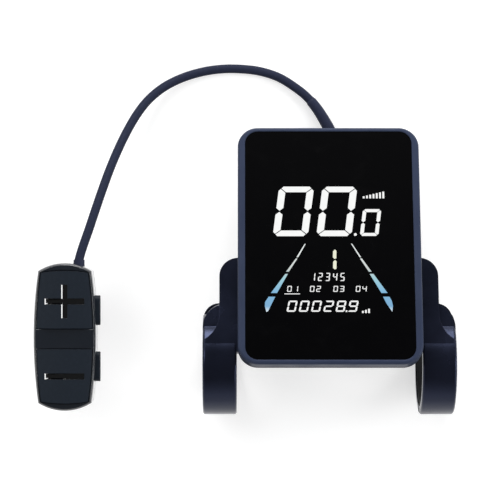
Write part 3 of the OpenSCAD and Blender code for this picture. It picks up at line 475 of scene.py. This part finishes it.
CLAMPS = ("left", "right", "keypad")
CLAMP_FINISH: dict[str, Finish] = {
    "clamp_cap": CLAMP_NYLON,
    "hinge_pin": ZINC_STEEL,
    "clamp_screw": BLACK_STEEL,
    "clamp_insert": INSERT_BRASS,
    "upper_liner": LINER_RUBBER,
    "lower_liner": LINER_RUBBER,
}
NODE_FINISH: dict[str, Finish] = {
    "front_bezel": BEZEL_ABS,
    "cover_glass": COVER_GLASS,
    "glass_gasket": GASKET_FOAM,
    "lcd_panel": SCREEN_GLASS,
    "lcd_frame": ZINC_STEEL,
    "backlight": DIFFUSER,
    "main_board": BOARD,
    "board_components": COMPONENTS,
    "board_screws": ZINC_STEEL,
    "rear_cover": COVER_ABS,
    "case_seal": GASKET_FOAM,
    "case_screws": BLACK_STEEL,
    "cable_gland": COVER_ABS,
    "gland_screws": BLACK_STEEL,
    "main_lead_bushing": LINER_RUBBER,
    "left_arm": CLAMP_NYLON,
    "right_arm": CLAMP_NYLON,
    "arm_screws": BLACK_STEEL,
    "keypad_shell": SHELL_POLYCARBONATE,
    "keypad_base": CLAMP_NYLON,
    "keypad_seal": GASKET_FOAM,
    "keypad_screws": BLACK_STEEL,
    "keypad_board": BOARD,
    "tact_switches": SWITCH_CASE,
    "button_membrane": GASKET_FOAM,
    "keypad_strain_relief": RELIEF_RUBBER,
    **{f"{button}_button": BUTTON_SILICONE for button in ("plus", "minus", "power", "mode")},
    **{f"{clamp}_{part}": finish for clamp in CLAMPS for part, finish in CLAMP_FINISH.items()},
}


@dataclass(frozen=True)
class Spec:
    """A piece's name, a material slot name that is not used, what it is made of, its body and its shading."""

    name: str
    slot: str
    finish: Finish
    body: str = "root"
    smooth: bool = False


class Workshop:
    """Makes each finish once and turns mesh data into pieces that ride on a body."""

    def __init__(self) -> None:
        """Starts with no material made."""
        self._made: dict[str, Material] = {}

    def finish(self, finish: Finish) -> Material:
        """Gives a finish's material, made at its first use.

        Args:
            finish: The finish to look up.

        Returns:
            Its material.
        """
        if finish.name not in self._made:
            self._made[finish.name] = finish.material()
        return self._made[finish.name]

    def keep(self, spec: Spec, mesh: bpy.types.Mesh) -> bpy.types.Object:
        """Keeps a mesh as a piece at the origin.

        Args:
            spec: What the piece is.
            mesh: Its mesh, in the row frame's metres.

        Returns:
            The new object.
        """
        for polygon in mesh.polygons:
            polygon.use_smooth = spec.smooth
        mesh.materials.append(self.finish(spec.finish))
        piece = added(spec.name, mesh)
        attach(piece, spec.body)
        LOG.info("%s: %d faces on %s", spec.name, len(mesh.polygons), spec.body)
        return piece

    def piece(self, spec: Spec, shape: MeshData, place: Place = Place.ROW) -> bpy.types.Object:
        """Makes one mesh piece from its points and faces.

        Args:
            spec: What the piece is.
            shape: Its points in the place's millimetres, and its faces, outwards.
            place: The frame in which the points are drawn.

        Returns:
            The new object.
        """
        points, faces = shape
        mesh = bpy.data.meshes.new(spec.name)
        matrix = place.matrix()
        mesh.from_pydata([matrix @ Vector(point) for point in points], [], faces)
        mesh.validate()
        mesh.update()
        return self.keep(spec, mesh)

    def grown(
        self,
        spec: Spec,
        tree: Tree,
        values: Mapping[str, object],
        matrix: Matrix,
        source: bpy.types.ID | None = None,
    ) -> None:
        """Runs a geometry tree and keeps its result as a plain mesh piece.

        Args:
            spec: What the piece is.
            tree: The geometry tree.
            values: The tree's inputs, by name.
            matrix: From the result's units to the row frame's metres.
            source: The curve or mesh that the tree starts from, or None for an empty mesh.
        """
        seed = added(spec.name + "_seed", source or bpy.data.meshes.new(spec.name + "_seed"))
        modifier = seed.modifiers.new("growth", "NODES")
        modifier.node_group = tree
        sockets = {item.name: item.identifier for item in tree.interface.items_tree if item.item_type == "SOCKET"}
        for key, value in values.items():
            modifier[sockets[key]] = value
        bpy.context.view_layer.update()
        graph = bpy.context.evaluated_depsgraph_get()
        mesh = bpy.data.meshes.new_from_object(seed.evaluated_get(graph))
        seed.modifiers.clear()
        bpy.data.objects.remove(seed)
        mesh.name = spec.name
        mesh.materials.clear()
        mesh.transform(matrix)
        self.keep(spec, mesh)


def new_growth(name: str, defaults: Mapping[str, float | int]) -> tuple[Tree, dict[str, Socket]]:
    """Starts a geometry tree with named inputs.

    Args:
        name: The tree's name.
        defaults: The inputs' names and defaults; a whole number makes an integer socket.

    Returns:
        The tree and its inputs' sockets by name, with the seed's under Geometry.
    """
    tree = bpy.data.node_groups.new(name, "GeometryNodeTree")
    tree.interface.new_socket("Geometry", in_out="INPUT", socket_type="NodeSocketGeometry")
    for key, value in defaults.items():
        kind = "NodeSocketInt" if isinstance(value, int) else "NodeSocketFloat"
        tree.interface.new_socket(key, in_out="INPUT", socket_type=kind).default_value = value
    tree.interface.new_socket("Result", in_out="OUTPUT", socket_type="NodeSocketGeometry")
    return tree, {socket.name: socket for socket in add_node(tree, "NodeGroupInput").outputs}


def close_growth(tree: Tree, copied: Mapping[str, Socket]) -> Tree:
    """Ends a geometry tree in copies on points, made real.

    Args:
        tree: The tree to end.
        copied: The inputs of Instance on Points, by name.

    Returns:
        The finished tree.
    """
    copies = result(tree, "GeometryNodeInstanceOnPoints", copied)
    add_node(tree, "NodeGroupOutput", {0: result(tree, "GeometryNodeRealizeInstances", {0: copies})})
    return tree


def row_of_blocks() -> Tree:
    """Builds the tree for a row of flat blocks on one line, whose heights rise evenly to the last.

    Returns:
        The tree, with inputs Count, Pitch, Width, Height, Thickness and Low share.
    """
    defaults = {"Count": 4, "Pitch": 9.0, "Width": 6.0, "Height": 2.0, "Thickness": 0.05, "Low share": 1.0}
    tree, given = new_growth("row_of_blocks", defaults)
    values = {"Count": given["Count"], "Offset": vector(tree, given["Pitch"])}
    line = result(tree, "GeometryNodeMeshLine", values, mode="OFFSET")
    size = vector(tree, given["Width"], given["Height"], given["Thickness"])
    block = result(tree, "GeometryNodeMeshCube", {"Size": size})
    lift = vector(tree, y=maths(tree, "MULTIPLY", given["Height"], 0.5))
    stood = result(tree, "GeometryNodeTransform", {"Geometry": block, "Translation": lift})
    last = maths(tree, "SUBTRACT", given["Count"], 1.0)
    share = spread(tree, result(tree, "GeometryNodeInputIndex"), (given["Low share"], 1.0), (0.0, last))
    return close_growth(tree, {"Points": line, "Instance": stood, "Scale": vector(tree, 1.0, share, 1.0)})


def ring_of_ridges() -> Tree:
    """Builds the tree for fine ridges round a screw's head.

    Returns:
        The tree, with inputs Count, Radius, Ridge and Height.
    """
    tree, given = new_growth("ring_of_ridges", {"Count": 28, "Radius": 2.75, "Ridge": 0.16, "Height": 2.0})
    ring = result(tree, "GeometryNodeMeshCircle", {"Vertices": given["Count"], "Radius": given["Radius"]})
    values = {"Vertices": 6, "Radius": given["Ridge"], "Depth": given["Height"]}
    return close_growth(tree, {"Points": ring, "Instance": result(tree, "GeometryNodeMeshCylinder", values)})


def rings_on_path() -> Tree:
    """Builds the tree for flexing rings that follow a path and get smaller along it.

    Returns:
        The tree, with inputs Count, Root radius, Tip radius and Bead.
    """
    tree, given = new_growth("rings_on_path", {"Count": 5, "Root radius": 2.8, "Tip radius": 2.6, "Bead": 0.3})
    path = result(tree, "GeometryNodeResampleCurve", {"Curve": given["Geometry"], "Count": given["Count"]})
    tangent = result(tree, "GeometryNodeInputTangent")
    turn = result(tree, "FunctionNodeAlignRotationToVector", {"Vector": tangent}, axis="Z")
    along = add_node(tree, "GeometryNodeSplineParameter").outputs["Factor"]
    share = spread(tree, along, (given["Root radius"], given["Tip radius"]))
    circle = result(tree, "GeometryNodeCurvePrimitiveCircle", {"Resolution": 36, "Radius": 1.0})
    section = result(tree, "GeometryNodeCurvePrimitiveCircle", {"Resolution": 8, "Radius": given["Bead"]})
    bead = result(tree, "GeometryNodeCurveToMesh", {"Curve": circle, "Profile Curve": section})
    copied = {"Points": path, "Instance": bead, "Rotation": turn, "Scale": vector(tree, share, share, share)}
    return close_growth(tree, copied)


def tube(loops: Sequence[Sequence[Point]]) -> MeshData:
    """Closes a tube through loops of points, with a cap on each end.

    Args:
        loops: Its loops, all with the same number of points, anticlockwise when seen from the last one.

    Returns:
        Its points and faces.
    """
    n, last = len(loops[0]), len(loops) - 1
    faces: list[Face] = [tuple(range(n - 1, -1, -1)), tuple(range(last * n, (last + 1) * n))]
    faces += [
        (i * n + j, i * n + (j + 1) % n, (i + 1) * n + (j + 1) % n, (i + 1) * n + j)
        for i in range(last)
        for j in range(n)
    ]
    return [point for loop in loops for point in loop], faces


def joined(parts: Sequence[MeshData]) -> MeshData:
    """Puts several bits of mesh data into one list of points and faces."""
    points: list[Point] = []
    faces: list[Face] = []
    for part_points, part_faces in parts:
        start = len(points)
        points.extend(part_points)
        faces.extend(tuple(start + i for i in face) for face in part_faces)
    return points, faces


class Segment(Enum):
    """One bar of a seven-segment digit, with its usual letter."""

    TOP = "a"
    UPPER_LEFT = "f"
    UPPER_RIGHT = "b"
    MIDDLE = "g"
    LOWER_LEFT = "e"
    LOWER_RIGHT = "c"
    BOTTOM = "d"


LIT_SEGMENTS = {0: "abcdef", 1: "bc", 2: "abdeg", 3: "abcdg", 4: "bcfg", 5: "acdfg", 8: "abcdefg", 9: "abcdfg"}


@dataclass(frozen=True)
class DigitStyle:
    """The proportions of a slanted seven-segment digit."""

    width: float
    height: float
    stroke: float
    gap: float
    slant: float = 0.13
    crossbar_share: float = 0.85
    corner_share: float = 0.28

    def outline(self, segment: Segment) -> list[Flat]:
        """Gives one segment's outline, upright and with the digit's lower left corner at zero.

        Args:
            segment: The bar to draw.

        Returns:
            Its corners, anticlockwise.
        """
        w, h, s, g = self.width, self.height, self.stroke, self.gap
        bar, cut, middle = s * self.crossbar_share, s * self.corner_share, h / 2
        if segment is Segment.MIDDLE:
            ends = ((s / 2 + g, 0.0), (s + g, -bar / 2), (w - s - g, -bar / 2))
            return [(x, middle + y) for x, y in ends] + [(w - x, middle - y) for x, y in ends]
        if segment in (Segment.TOP, Segment.BOTTOM):
            left = ((s + g, bar), (cut + g, cut), (2 * cut + g, 0.0))
            shape = [*left, *((w - x, y) for x, y in reversed(left))]
            return [(x, h - y) for x, y in reversed(shape)] if segment is Segment.TOP else shape
        shape = [(0.0, h - 2 * cut - g), (0.0, middle + s / 2), (s / 2, middle + g)]
        shape += [(s, middle + s / 2), (s, h - bar - g), (cut, h - cut - g)]
        if segment in (Segment.LOWER_LEFT, Segment.LOWER_RIGHT):
            shape = [(x, h - y) for x, y in reversed(shape)]
        if segment in (Segment.UPPER_RIGHT, Segment.LOWER_RIGHT):
            shape = [(w - x, y) for x, y in reversed(shape)]
        return shape

    def digit(self, value: int, x: float, y: float) -> list[list[Flat]]:
        """Draws a digit's lit segments, one slanted outline each, from its lower left corner on the screen."""
        shapes = [self.outline(segment) for segment in Segment if segment.value in LIT_SEGMENTS[value]]
        return [[(x + px + self.slant * py, y + py) for px, py in shape] for shape in shapes]


@dataclass(frozen=True)
class Number:
    """Digits in a row: their style and values, the first one's lower left corner, and their pitch."""

    style: DigitStyle
    digits: tuple[int, ...]
    x: float
    y: float
    pitch: float = 0.0

    def outlines(self) -> list[list[Flat]]:
        """Draws the lit segments of all digits."""
        starts = [(value, self.x + i * self.pitch) for i, value in enumerate(self.digits)]
        return [shape for value, x in starts for shape in self.style.digit(value, x, self.y)]


@dataclass(frozen=True)
class BlockRow:
    """A row of flat blocks on the screen. The first has its height times the low share, the last all of it."""

    name: str
    count: int
    pitch: float
    width: float
    height: float
    low_share: float
    x: float
    y: float


SPEED_STYLE = DigitStyle(width=13.9, height=20.6, stroke=2.75, gap=0.24)
TENTH_STYLE = DigitStyle(width=7.3, height=11.1, stroke=1.45, gap=0.12)
DISTANCE_STYLE = DigitStyle(width=3.55, height=4.5, stroke=0.68, gap=0.07, slant=0.22)
ASSIST_STYLE = DigitStyle(width=1.75, height=3.3, stroke=0.42, gap=0.03, slant=0.1)
TAB_STYLE = DigitStyle(width=1.75, height=2.4, stroke=0.36, gap=0.02, slant=0.1)


@dataclass
class LitScreen:
    """Everything that the screen shows: two readouts, the lane marks, the level and the mode tabs."""

    surface: float = -0.2
    rise: float = 0.05
    speed: Number = Number(SPEED_STYLE, (0, 0), -22.4, 51.9, 17.2)
    tenth: Number = Number(TENTH_STYLE, (0,), 12.0, 52.0)
    speed_point: tuple[Flat, ...] = (
        (9.7, 52.2), (10.2, 52.0), (10.7, 52.2), (10.9, 52.7), (10.6, 53.1), (10.1, 53.2), (9.7, 52.8),
    )
    distance: Number = Number(DISTANCE_STYLE, (0, 0, 0, 2, 8, 9), -17.2, 21.0, 4.78)
    distance_point: tuple[Flat, ...] = ((5.95, 20.9), (6.6, 20.9), (6.65, 21.6), (6.0, 21.6))
    small_numbers: tuple[Number, ...] = (
        Number(ASSIST_STYLE, (1, 2, 3, 4, 5), -7.7, 33.5, 2.9),
        *(Number(TAB_STYLE, (0, i), x, 29.1, 2.5) for i, x in enumerate((-16.9, -8.0, 1.2, 10.0), 1)),
    )
    level_bar: tuple[Flat, ...] = ((1.25, 0.7), (1.9, 0.0), (2.6, 0.3), (2.7, 3.3), (2.1, 3.9), (1.35, 3.2))
    level_heights: Flat = (38.2, 42.5)
    lane: tuple[tuple[Flat, ...], ...] = (
        ((-13.1, 43.2), (-12.4, 43.2), (-9.4, 48.7), (-9.8, 48.7)),
        ((-17.2, 37.3), (-16.1, 37.3), (-12.7, 42.7), (-13.3, 42.7)),
        ((-23.2, 28.6), (-20.8, 28.6), (-16.5, 36.4), (-17.5, 36.4)),
        ((-25.0, 20.9), (-24.3, 21.3), (-21.5, 27.1), (-24.1, 27.1), (-25.5, 24.9), (-25.6, 23.3)),
        ((11.8, 43.2), (12.4, 43.2), (8.9, 48.8), (8.5, 48.8)),
        ((15.3, 37.3), (16.4, 37.3), (12.7, 42.7), (11.9, 42.7)),
        ((20.1, 28.6), (22.5, 28.6), (17.1, 36.4), (15.6, 36.4)),
        ((24.2, 21.0), (24.5, 23.4), (24.1, 25.4), (23.2, 27.1), (20.7, 27.1), (22.1, 24.2)),
    )
    rows: tuple[BlockRow, ...] = (
        BlockRow("lit_speed_ticks", 7, 1.3, 0.75, 2.8, 0.3, 13.8, 67.6),
        BlockRow("lit_distance_ticks", 3, 1.2, 0.7, 1.7, 0.5, 12.7, 20.5),
        BlockRow("lit_tab_underline", 1, 1.0, 6.1, 0.3, 1.0, -14.85, 28.1),
    )

    def light(self, shop: Workshop, name: str, outlines: Sequence[Sequence[Flat]], finish: Finish) -> None:
        """Makes one piece of all outlines, raised from the glass by the segments' thickness."""
        levels = (self.surface - self.rise, self.surface + self.rise)
        shapes = [tube([[(x, y, level) for x, y in outline] for level in levels]) for outline in outlines]
        shop.piece(Spec(name, "screen", finish), joined(shapes), Place.DISPLAY)

    def block_rows(self, shop: Workshop) -> None:
        """Makes the rising tick rows beside the readouts and the line under the chosen tab."""
        tree = row_of_blocks()
        for row in self.rows:
            matrix = Place.DISPLAY.matrix() @ Matrix.Translation((row.x, row.y, self.surface))
            values = {"Count": row.count, "Pitch": row.pitch, "Width": row.width, "Height": row.height}
            values |= {"Thickness": 2 * self.rise, "Low share": row.low_share}
            shop.grown(Spec(row.name, "screen", WHITE_SEGMENT), tree, values, matrix)

    def build(self, shop: Workshop) -> None:
        """Makes all that the screen shows."""
        readouts = [*self.speed.outlines(), *self.tenth.outlines(), self.speed_point]
        readouts += [*self.distance.outlines(), self.distance_point]
        self.light(shop, "lit_readouts", readouts, WHITE_SEGMENT)
        self.light(shop, "lit_lane_marks", self.lane, LANE_SEGMENT)
        level = [[(x, y + start) for x, y in self.level_bar] for start in self.level_heights]
        self.light(shop, "lit_level", level, PALE_SEGMENT)
        small = [shape for number in self.small_numbers for shape in number.outlines()]
        self.light(shop, "lit_small_numbers", small, WHITE_SEGMENT)
        self.block_rows(shop)


def drawn_curve(name: str, course: Sequence[Vector], scale: float) -> bpy.types.Curve:
    """Draws one open polyline.

    Args:
        name: The curve's name.
        course: Its points in millimetres.
        scale: What they are multiplied with.

    Returns:
        The new curve.
    """
    curve = bpy.data.curves.new(name, "CURVE")
    curve.dimensions = "3D"
    spline = curve.splines.new("POLY")
    spline.points.add(len(course) - 1)
    for point, place in zip(spline.points, course):
        point.co = (*(place * scale), 1.0)
    return curve


@dataclass
class KeypadLead:
    """The keypad's cord, with the tapered strain relief at the display's gland."""

    diameter: float = 3.6
    relief_root: float = 2.7
    relief_tip: float = 2.088
    relief_end: float = 1.84
    relief_points: int = 7
    root_depths: Flat = (7.0, 1.0)
    rings: int = 5
    ring_radii: Flat = (2.62, 2.4)
    bead: float = 0.12
    ringed_steps: tuple[int, int] = (3, 18)
    steps: int = 6
    sides: int = 32
    route: tuple[Point, ...] = (
        GLAND_EXIT, (3.2, 86, -16.8), (2.9, 90, -17.1), (1.6, 94.5, -17.4),
        (-0.8, 99, -17.7), (-3.4, 103.2, -17.9), (-6.6, 107.2, -18.05), (-11, 111.2, -18.2),
        (-18.9, 116.3, -18.3), (-27, 119, -18.3), (-35.4, 120, -18.3), (-43.6, 119.9, -18.3),
        (-51.6, 118.6, -18.2), (-59.4, 116.1, -17.5), (-66.4, 112.4, -16), (-72.2, 107.55, -13.75),
        (-76.8, 101.6, -10.9), (-80.8, 94.4, -7.2), (-84.4, 86.4, -2.8), (-87.6, 78, 1.7),
        (-90.3, 69.8, 5.8), (-92.8, 61.8, 9.2), (-95.3, 53.8, 11.6), (-97.6, 47, 12.8),
        (-99.0, 42.0, 13.4), (-99.0, 40.6, 13.4),
    )

    def smooth(self, start: int, end: int) -> list[Vector]:
        """Gives the smooth course between two points of the route.

        Args:
            start: The first route point.
            end: The last route point.

        Returns:
            Close points on the course, both ends among them.
        """
        given = [Vector(p) for p in self.route]
        last = len(given) - 1
        course = []
        for i in range(start, end):
            a, b, c, d = given[max(i - 1, 0)], given[i], given[i + 1], given[min(i + 2, last)]
            for k in range(self.steps):
                t = k / self.steps
                square = (2 * a - 5 * b + 4 * c - d) * (t * t / 2)
                course.append(b + (c - a) * (t / 2) + square + (3 * b - a - 3 * c + d) * (t**3 / 2))
        return [*course, given[end]]

    def cord(self, shop: Workshop) -> None:
        course = self.smooth(self.relief_points - 1, len(self.route) - 1)
        curve = drawn_curve("keypad_cord", course, MM)
        curve.bevel_depth = self.diameter / 2 * MM
        curve.bevel_resolution = 6
        curve.use_fill_caps = True
        curve.splines[0].use_smooth = True
        curve.materials.append(shop.finish(CORD_PVC))
        cord = added("keypad_cord", curve)
        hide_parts("cord")
        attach(cord, "root")

    def ring(self, centre: Vector, heading: Vector, radius: float) -> list[Point]:
        """Gives one ring of points round the course."""
        side = Vector((0, 0, 1)).cross(heading).normalized()
        up = heading.cross(side)
        angles = (2 * math.pi * j / self.sides for j in range(self.sides))
        return [tuple(centre + radius * (math.cos(a) * side + math.sin(a) * up)) for a in angles]

    def relief(self, shop: Workshop) -> None:
        """Makes the tapered strain relief with its root in the gland and the flexing rings on it."""
        course = self.smooth(0, self.relief_points - 1)
        count = len(course) - 1
        x, y, z = GLAND_EXIT
        centres = [Vector((x, y - depth, z)) for depth in self.root_depths] + course
        radii = [self.relief_root] * len(self.root_depths)
        radii += [self.relief_root + (self.relief_tip - self.relief_root) * i / count for i in range(count)]
        radii.append(self.relief_end)
        loops = []
        for i, (centre, radius) in enumerate(zip(centres, radii)):
            ahead, behind = centres[min(i + 1, len(centres) - 1)], centres[max(i - 1, 0)]
            loops.append(self.ring(centre, (ahead - behind).normalized(), radius))
        spec = Spec("tapered_strain_relief", "relief_rubber", RELIEF_RUBBER, smooth=True)
        relief = shop.piece(spec, tube(loops))
        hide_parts("display_strain_relief")
        first, end = self.ringed_steps
        path = drawn_curve("relief_path", course[first:end], 1.0)
        root, tip = self.ring_radii
        values = {"Count": self.rings, "Root radius": root, "Tip radius": tip, "Bead": self.bead}
        spec = Spec("relief_rings", "relief_rubber", RELIEF_RUBBER, smooth=True)
        shop.grown(spec, rings_on_path(), values, Place.ROW.matrix(), path)

    def build(self, shop: Workshop) -> None:
        """Makes the cord and its strain relief."""
        self.cord(shop)
        self.relief(shop)


@dataclass
class EngravedMark:
    """A glossy drafted tray in a button's groove, near-black as painted shade of the groove. Its side is one for
    the plus and minus one for the minus.
    """

    body: str
    side: int
    length: float = 15.6
    height: float = 13.2
    width: float = 2.4
    spread: float = 14.725
    shift: float = -0.7
    crown_top: float = 11.0
    crown_radius: float = 60.0
    depth: float = 1.2
    chamfer: float = 0.42
    chamfer_drop: float = 0.27
    draft: float = 0.55
    skin: float = 0.04
    step: float = 1.2

    def corners(self, margin: float) -> list[Flat]:
        """Gives the mark's outline, drawn in by a margin.

        Args:
            margin: How far the outline is drawn in.

        Returns:
            Its corners, anticlockwise.
        """
        long, tall, half = self.length / 2 - margin, self.height / 2 - margin, self.width / 2 - margin
        middle = self.side * self.spread + self.shift
        if self.side < 0:
            flat = [(-long, -half), (long, -half), (long, half), (-long, half)]
        else:
            flat = [
                (-half, -tall), (half, -tall), (half, -half), (long, -half), (long, half), (half, half),
                (half, tall), (-half, tall), (-half, half), (-long, half), (-long, -half), (-half, -half),
            ]
        return [(x, y + middle) for x, y in flat]

    def loop(self, margin: float, counts: Sequence[int]) -> list[Flat]:
        """Gives the drawn-in outline with each of its edges divided.

        Args:
            margin: How far the outline is drawn in.
            counts: Into how many parts each edge is divided.

        Returns:
            The outline's points.
        """
        corners = self.corners(margin)
        ends = corners[1:] + corners[:1]
        return [
            (a[0] + (b[0] - a[0]) * k / n, a[1] + (b[1] - a[1]) * k / n)
            for a, b, n in zip(corners, ends, counts)
            for k in range(n)
        ]

    def tray(self) -> MeshData:
        """Gives one closed tray: a rim under the button's crown, a lip, walls, a flat floor and a back.

        Left of the middle its lip is chamfered and its walls are drafted, to catch the light. The rest is steep.

        Returns:
            Its points and faces.
        """
        corners = self.corners(self.skin)
        spans = [math.dist(a, b) for a, b in zip(corners, corners[1:] + corners[:1])]
        counts = [max(1, round(span / self.step)) for span in spans]
        rim, chamfered, steep_lip, drafted, steep = (
            self.loop(margin, counts)
            for margin in (self.skin, self.chamfer, 2 * self.skin, self.draft, 4 * self.skin)
        )
        lip = [(a[0] if a[0] < 0.0 else b[0], b[1]) for a, b in zip(chamfered, steep_lip)]
        inner = [a if a[0] < 0.0 else b for a, b in zip(drafted, steep)]
        floor = self.crown_top - self.depth + 2 * self.skin
        under_crown = [
            [
                (x, y, self.crown_top - rim_x * rim_x / (2 * self.crown_radius) - drop)
                for (x, y), (rim_x, _) in zip(outline, rim)
            ]
            for outline, drop in ((rim, self.skin / 2), (lip, self.chamfer_drop))
        ]
        levels = ((rim, floor - self.skin), (inner, floor))
        back, bottom = ([(x, y, z) for x, y in outline] for outline, z in levels)
        return tube([back, *under_crown, bottom])

    def build(self, shop: Workshop) -> None:
        """Makes the tray on its button."""
        # The tray's near-black colour is painted shade of the groove; its glossy drafted edges catch the lamps.
        spec = Spec(f"{self.body}_mark_tray", "button", MARK_SHADE_LACQUER, self.body)
        shop.piece(spec, self.tray(), Place.KEYPAD)


@dataclass
class KnurledHead:
    """The knurling round a clamp screw's head, on the body that the screw is in."""

    body: str
    middle: Point
    radius: float
    height: float
    count: int = 28
    ridge: float = 0.14

    def build(self, shop: Workshop) -> None:
        """Makes the knurling."""
        values = {"Count": self.count, "Radius": self.radius, "Ridge": self.ridge, "Height": self.height}
        spec = Spec(f"{self.body}_screw_knurl", "steel", BLACK_STEEL, self.body)
        shop.grown(spec, ring_of_ridges(), values, Place.ROW.matrix() @ Matrix.Translation(self.middle))


HEADS = (
    KnurledHead("left_cap", (-43.35, 20.2, -6.5), 2.75, 2.4),
    KnurledHead("right_cap", (43.35, 20.2, -6.5), 2.75, 2.4),
    KnurledHead("keypad_cap", (-104.3, 26.3, -10.5), 2.2, 1.4),
)


@dataclass(frozen=True)
class Lamp:
    """A soft lamp that points at the object. Its place and size are in metres; a face of level one is white."""

    name: str
    place: Point
    width: float
    height: float
    level: float
    target: Point = (-0.03, 0.04, 0.0)

    def hang(self) -> None:
        """Adds the lamp to the scene."""
        data = bpy.data.lights.new(self.name, "AREA")
        data.shape = "RECTANGLE"
        data.size = self.width
        data.size_y = self.height
        data.energy = self.level * math.pi * self.width * self.height
        lamp = added(self.name, data)
        lamp.location = self.place
        heading = Vector(self.target) - Vector(self.place)
        lamp.rotation_euler = heading.to_track_quat("-Z", "Y").to_euler()


def seen_rays(tree: Tree) -> Socket:
    """Tells rays that look at the background from those that only light the object.

    Args:
        tree: The tree that needs to know.

    Returns:
        A socket that is one for camera, glossy and transmission rays, and zero for the others.
    """
    light_path = add_node(tree, "ShaderNodeLightPath")
    seen = light_path.outputs["Is Camera Ray"]
    for ray in ("Is Glossy Ray", "Is Transmission Ray"):
        seen = maths(tree, "MAXIMUM", seen, light_path.outputs[ray])
    return seen


@dataclass
class Studio:
    """The pale floor, the soft lamps, the white surroundings and the camera above the bar."""

    camera_place: Point = (-35.3, 49.8, 870.0)
    lens: float = 162.3
    sensor_width: float = 36.0
    view_depth_m: float = 20.0
    floor_size: float = 6000.0
    floor_drop: float = 0.02
    floor_colour: str = "#d0d0d0"
    floor_lift: float = 0.55
    ambient: float = 0.45
    ceiling: float = 0.08
    ceiling_heights: Flat = (0.3, 0.85)
    lamps: tuple[Lamp, ...] = (
        Lamp("key", (-0.75, 0.55, 1.15), 0.7, 0.7, 3.6),
        Lamp("fill", (0.85, -0.55, 1.0), 0.7, 0.7, 1.6),
        Lamp("far_strip", (-0.03, 1.05, 0.41), 0.5, 0.62, 9.0),
        Lamp("right_strip", (1.0, 0.04, 0.52), 0.4, 0.34, 10.0),
    )

    def camera(self) -> None:
        """Sets the camera at the photograph's viewing angle."""
        data = bpy.data.cameras.new("photo_camera")
        data.sensor_width = self.sensor_width
        data.sensor_fit = "HORIZONTAL"
        data.lens = self.lens
        data.clip_end = self.view_depth_m
        camera = added("photo_camera", data)
        camera.location = Vector(self.camera_place) * MM
        bpy.context.scene.camera = camera

    def floor(self) -> None:
        """Lays the pale floor under the clamps."""
        half = self.floor_size / 2 * MM
        level = (TABLE_Z - self.floor_drop) * MM
        mesh = bpy.data.meshes.new("studio_floor")
        corners = [(-half, -half, level), (half, -half, level), (half, half, level), (-half, half, level)]
        mesh.from_pydata(corners, [], [(0, 1, 2, 3)])
        material, tree, _ = new_shader("studio_floor")
        inputs = {
            "Base Color": linear(self.floor_colour),
            "Roughness": 0.9,
            "Specular IOR Level": 0.2,
            "Emission Color": (1.0, 1.0, 1.0, 1.0),
            "Emission Strength": spread(tree, seen_rays(tree), (0.0, self.floor_lift)),
        }
        close_shader(tree, inputs)
        mesh.materials.append(material)
        added("studio_floor", mesh)

    def surroundings(self) -> None:
        """Makes the world white to look at and soft as a light, with a dark ceiling for what mirrors it."""
        world = bpy.data.worlds.new("studio")
        bpy.context.scene.world = world
        world.use_nodes = True
        tree = world.node_tree
        tree.nodes.clear()
        direction = add_node(tree, "ShaderNodeTexCoord")
        axes = add_node(tree, "ShaderNodeSeparateXYZ", {"Vector": direction.outputs["Generated"]})
        ceiling = spread(tree, axes.outputs["Z"], (1.0, self.ceiling), self.ceiling_heights)
        strength = spread(tree, seen_rays(tree), (self.ambient, ceiling))
        light_path = add_node(tree, "ShaderNodeLightPath")
        white = maths(tree, "MAXIMUM", strength, light_path.outputs["Is Camera Ray"])
        sky = add_node(tree, "ShaderNodeBackground", {"Color": (1.0, 1.0, 1.0, 1.0), "Strength": white})
        add_node(tree, "ShaderNodeOutputWorld", {"Surface": sky.outputs[0]})

    def build(self) -> None:
        """Lights the set."""
        self.floor()
        self.surroundings()
        for lamp in self.lamps:
            lamp.hang()
        bpy.context.scene.view_settings.view_transform = "Standard"


def dress_nodes(frame: Mapping[str, object], shop: Workshop) -> None:
    """Gives every CAD node that stays its finish.

    Args:
        frame: The loaded frame.
        shop: Where the finishes are made.
    """
    for name, finish in NODE_FINISH.items():
        node = frame["nodes"][name]
        material = shop.finish(finish)
        if not node.material_slots:
            node.data.materials.append(material)
        for slot in node.material_slots:
            slot.material = material
        LOG.info("%s: %s", name, finish.name)


def main() -> None:
    """Builds the dressed display in order."""
    logging.basicConfig(level=logging.INFO, format="%(name)s %(message)s")
    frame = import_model()
    shop = Workshop()
    studio = Studio()
    studio.camera()
    KeypadLead().build(shop)
    dress_nodes(frame, shop)
    for part in (LitScreen(), EngravedMark("plus", 1), EngravedMark("minus", -1), *HEADS):
        part.build(shop)
    studio.build()


if __name__ == "__main__":
    main()
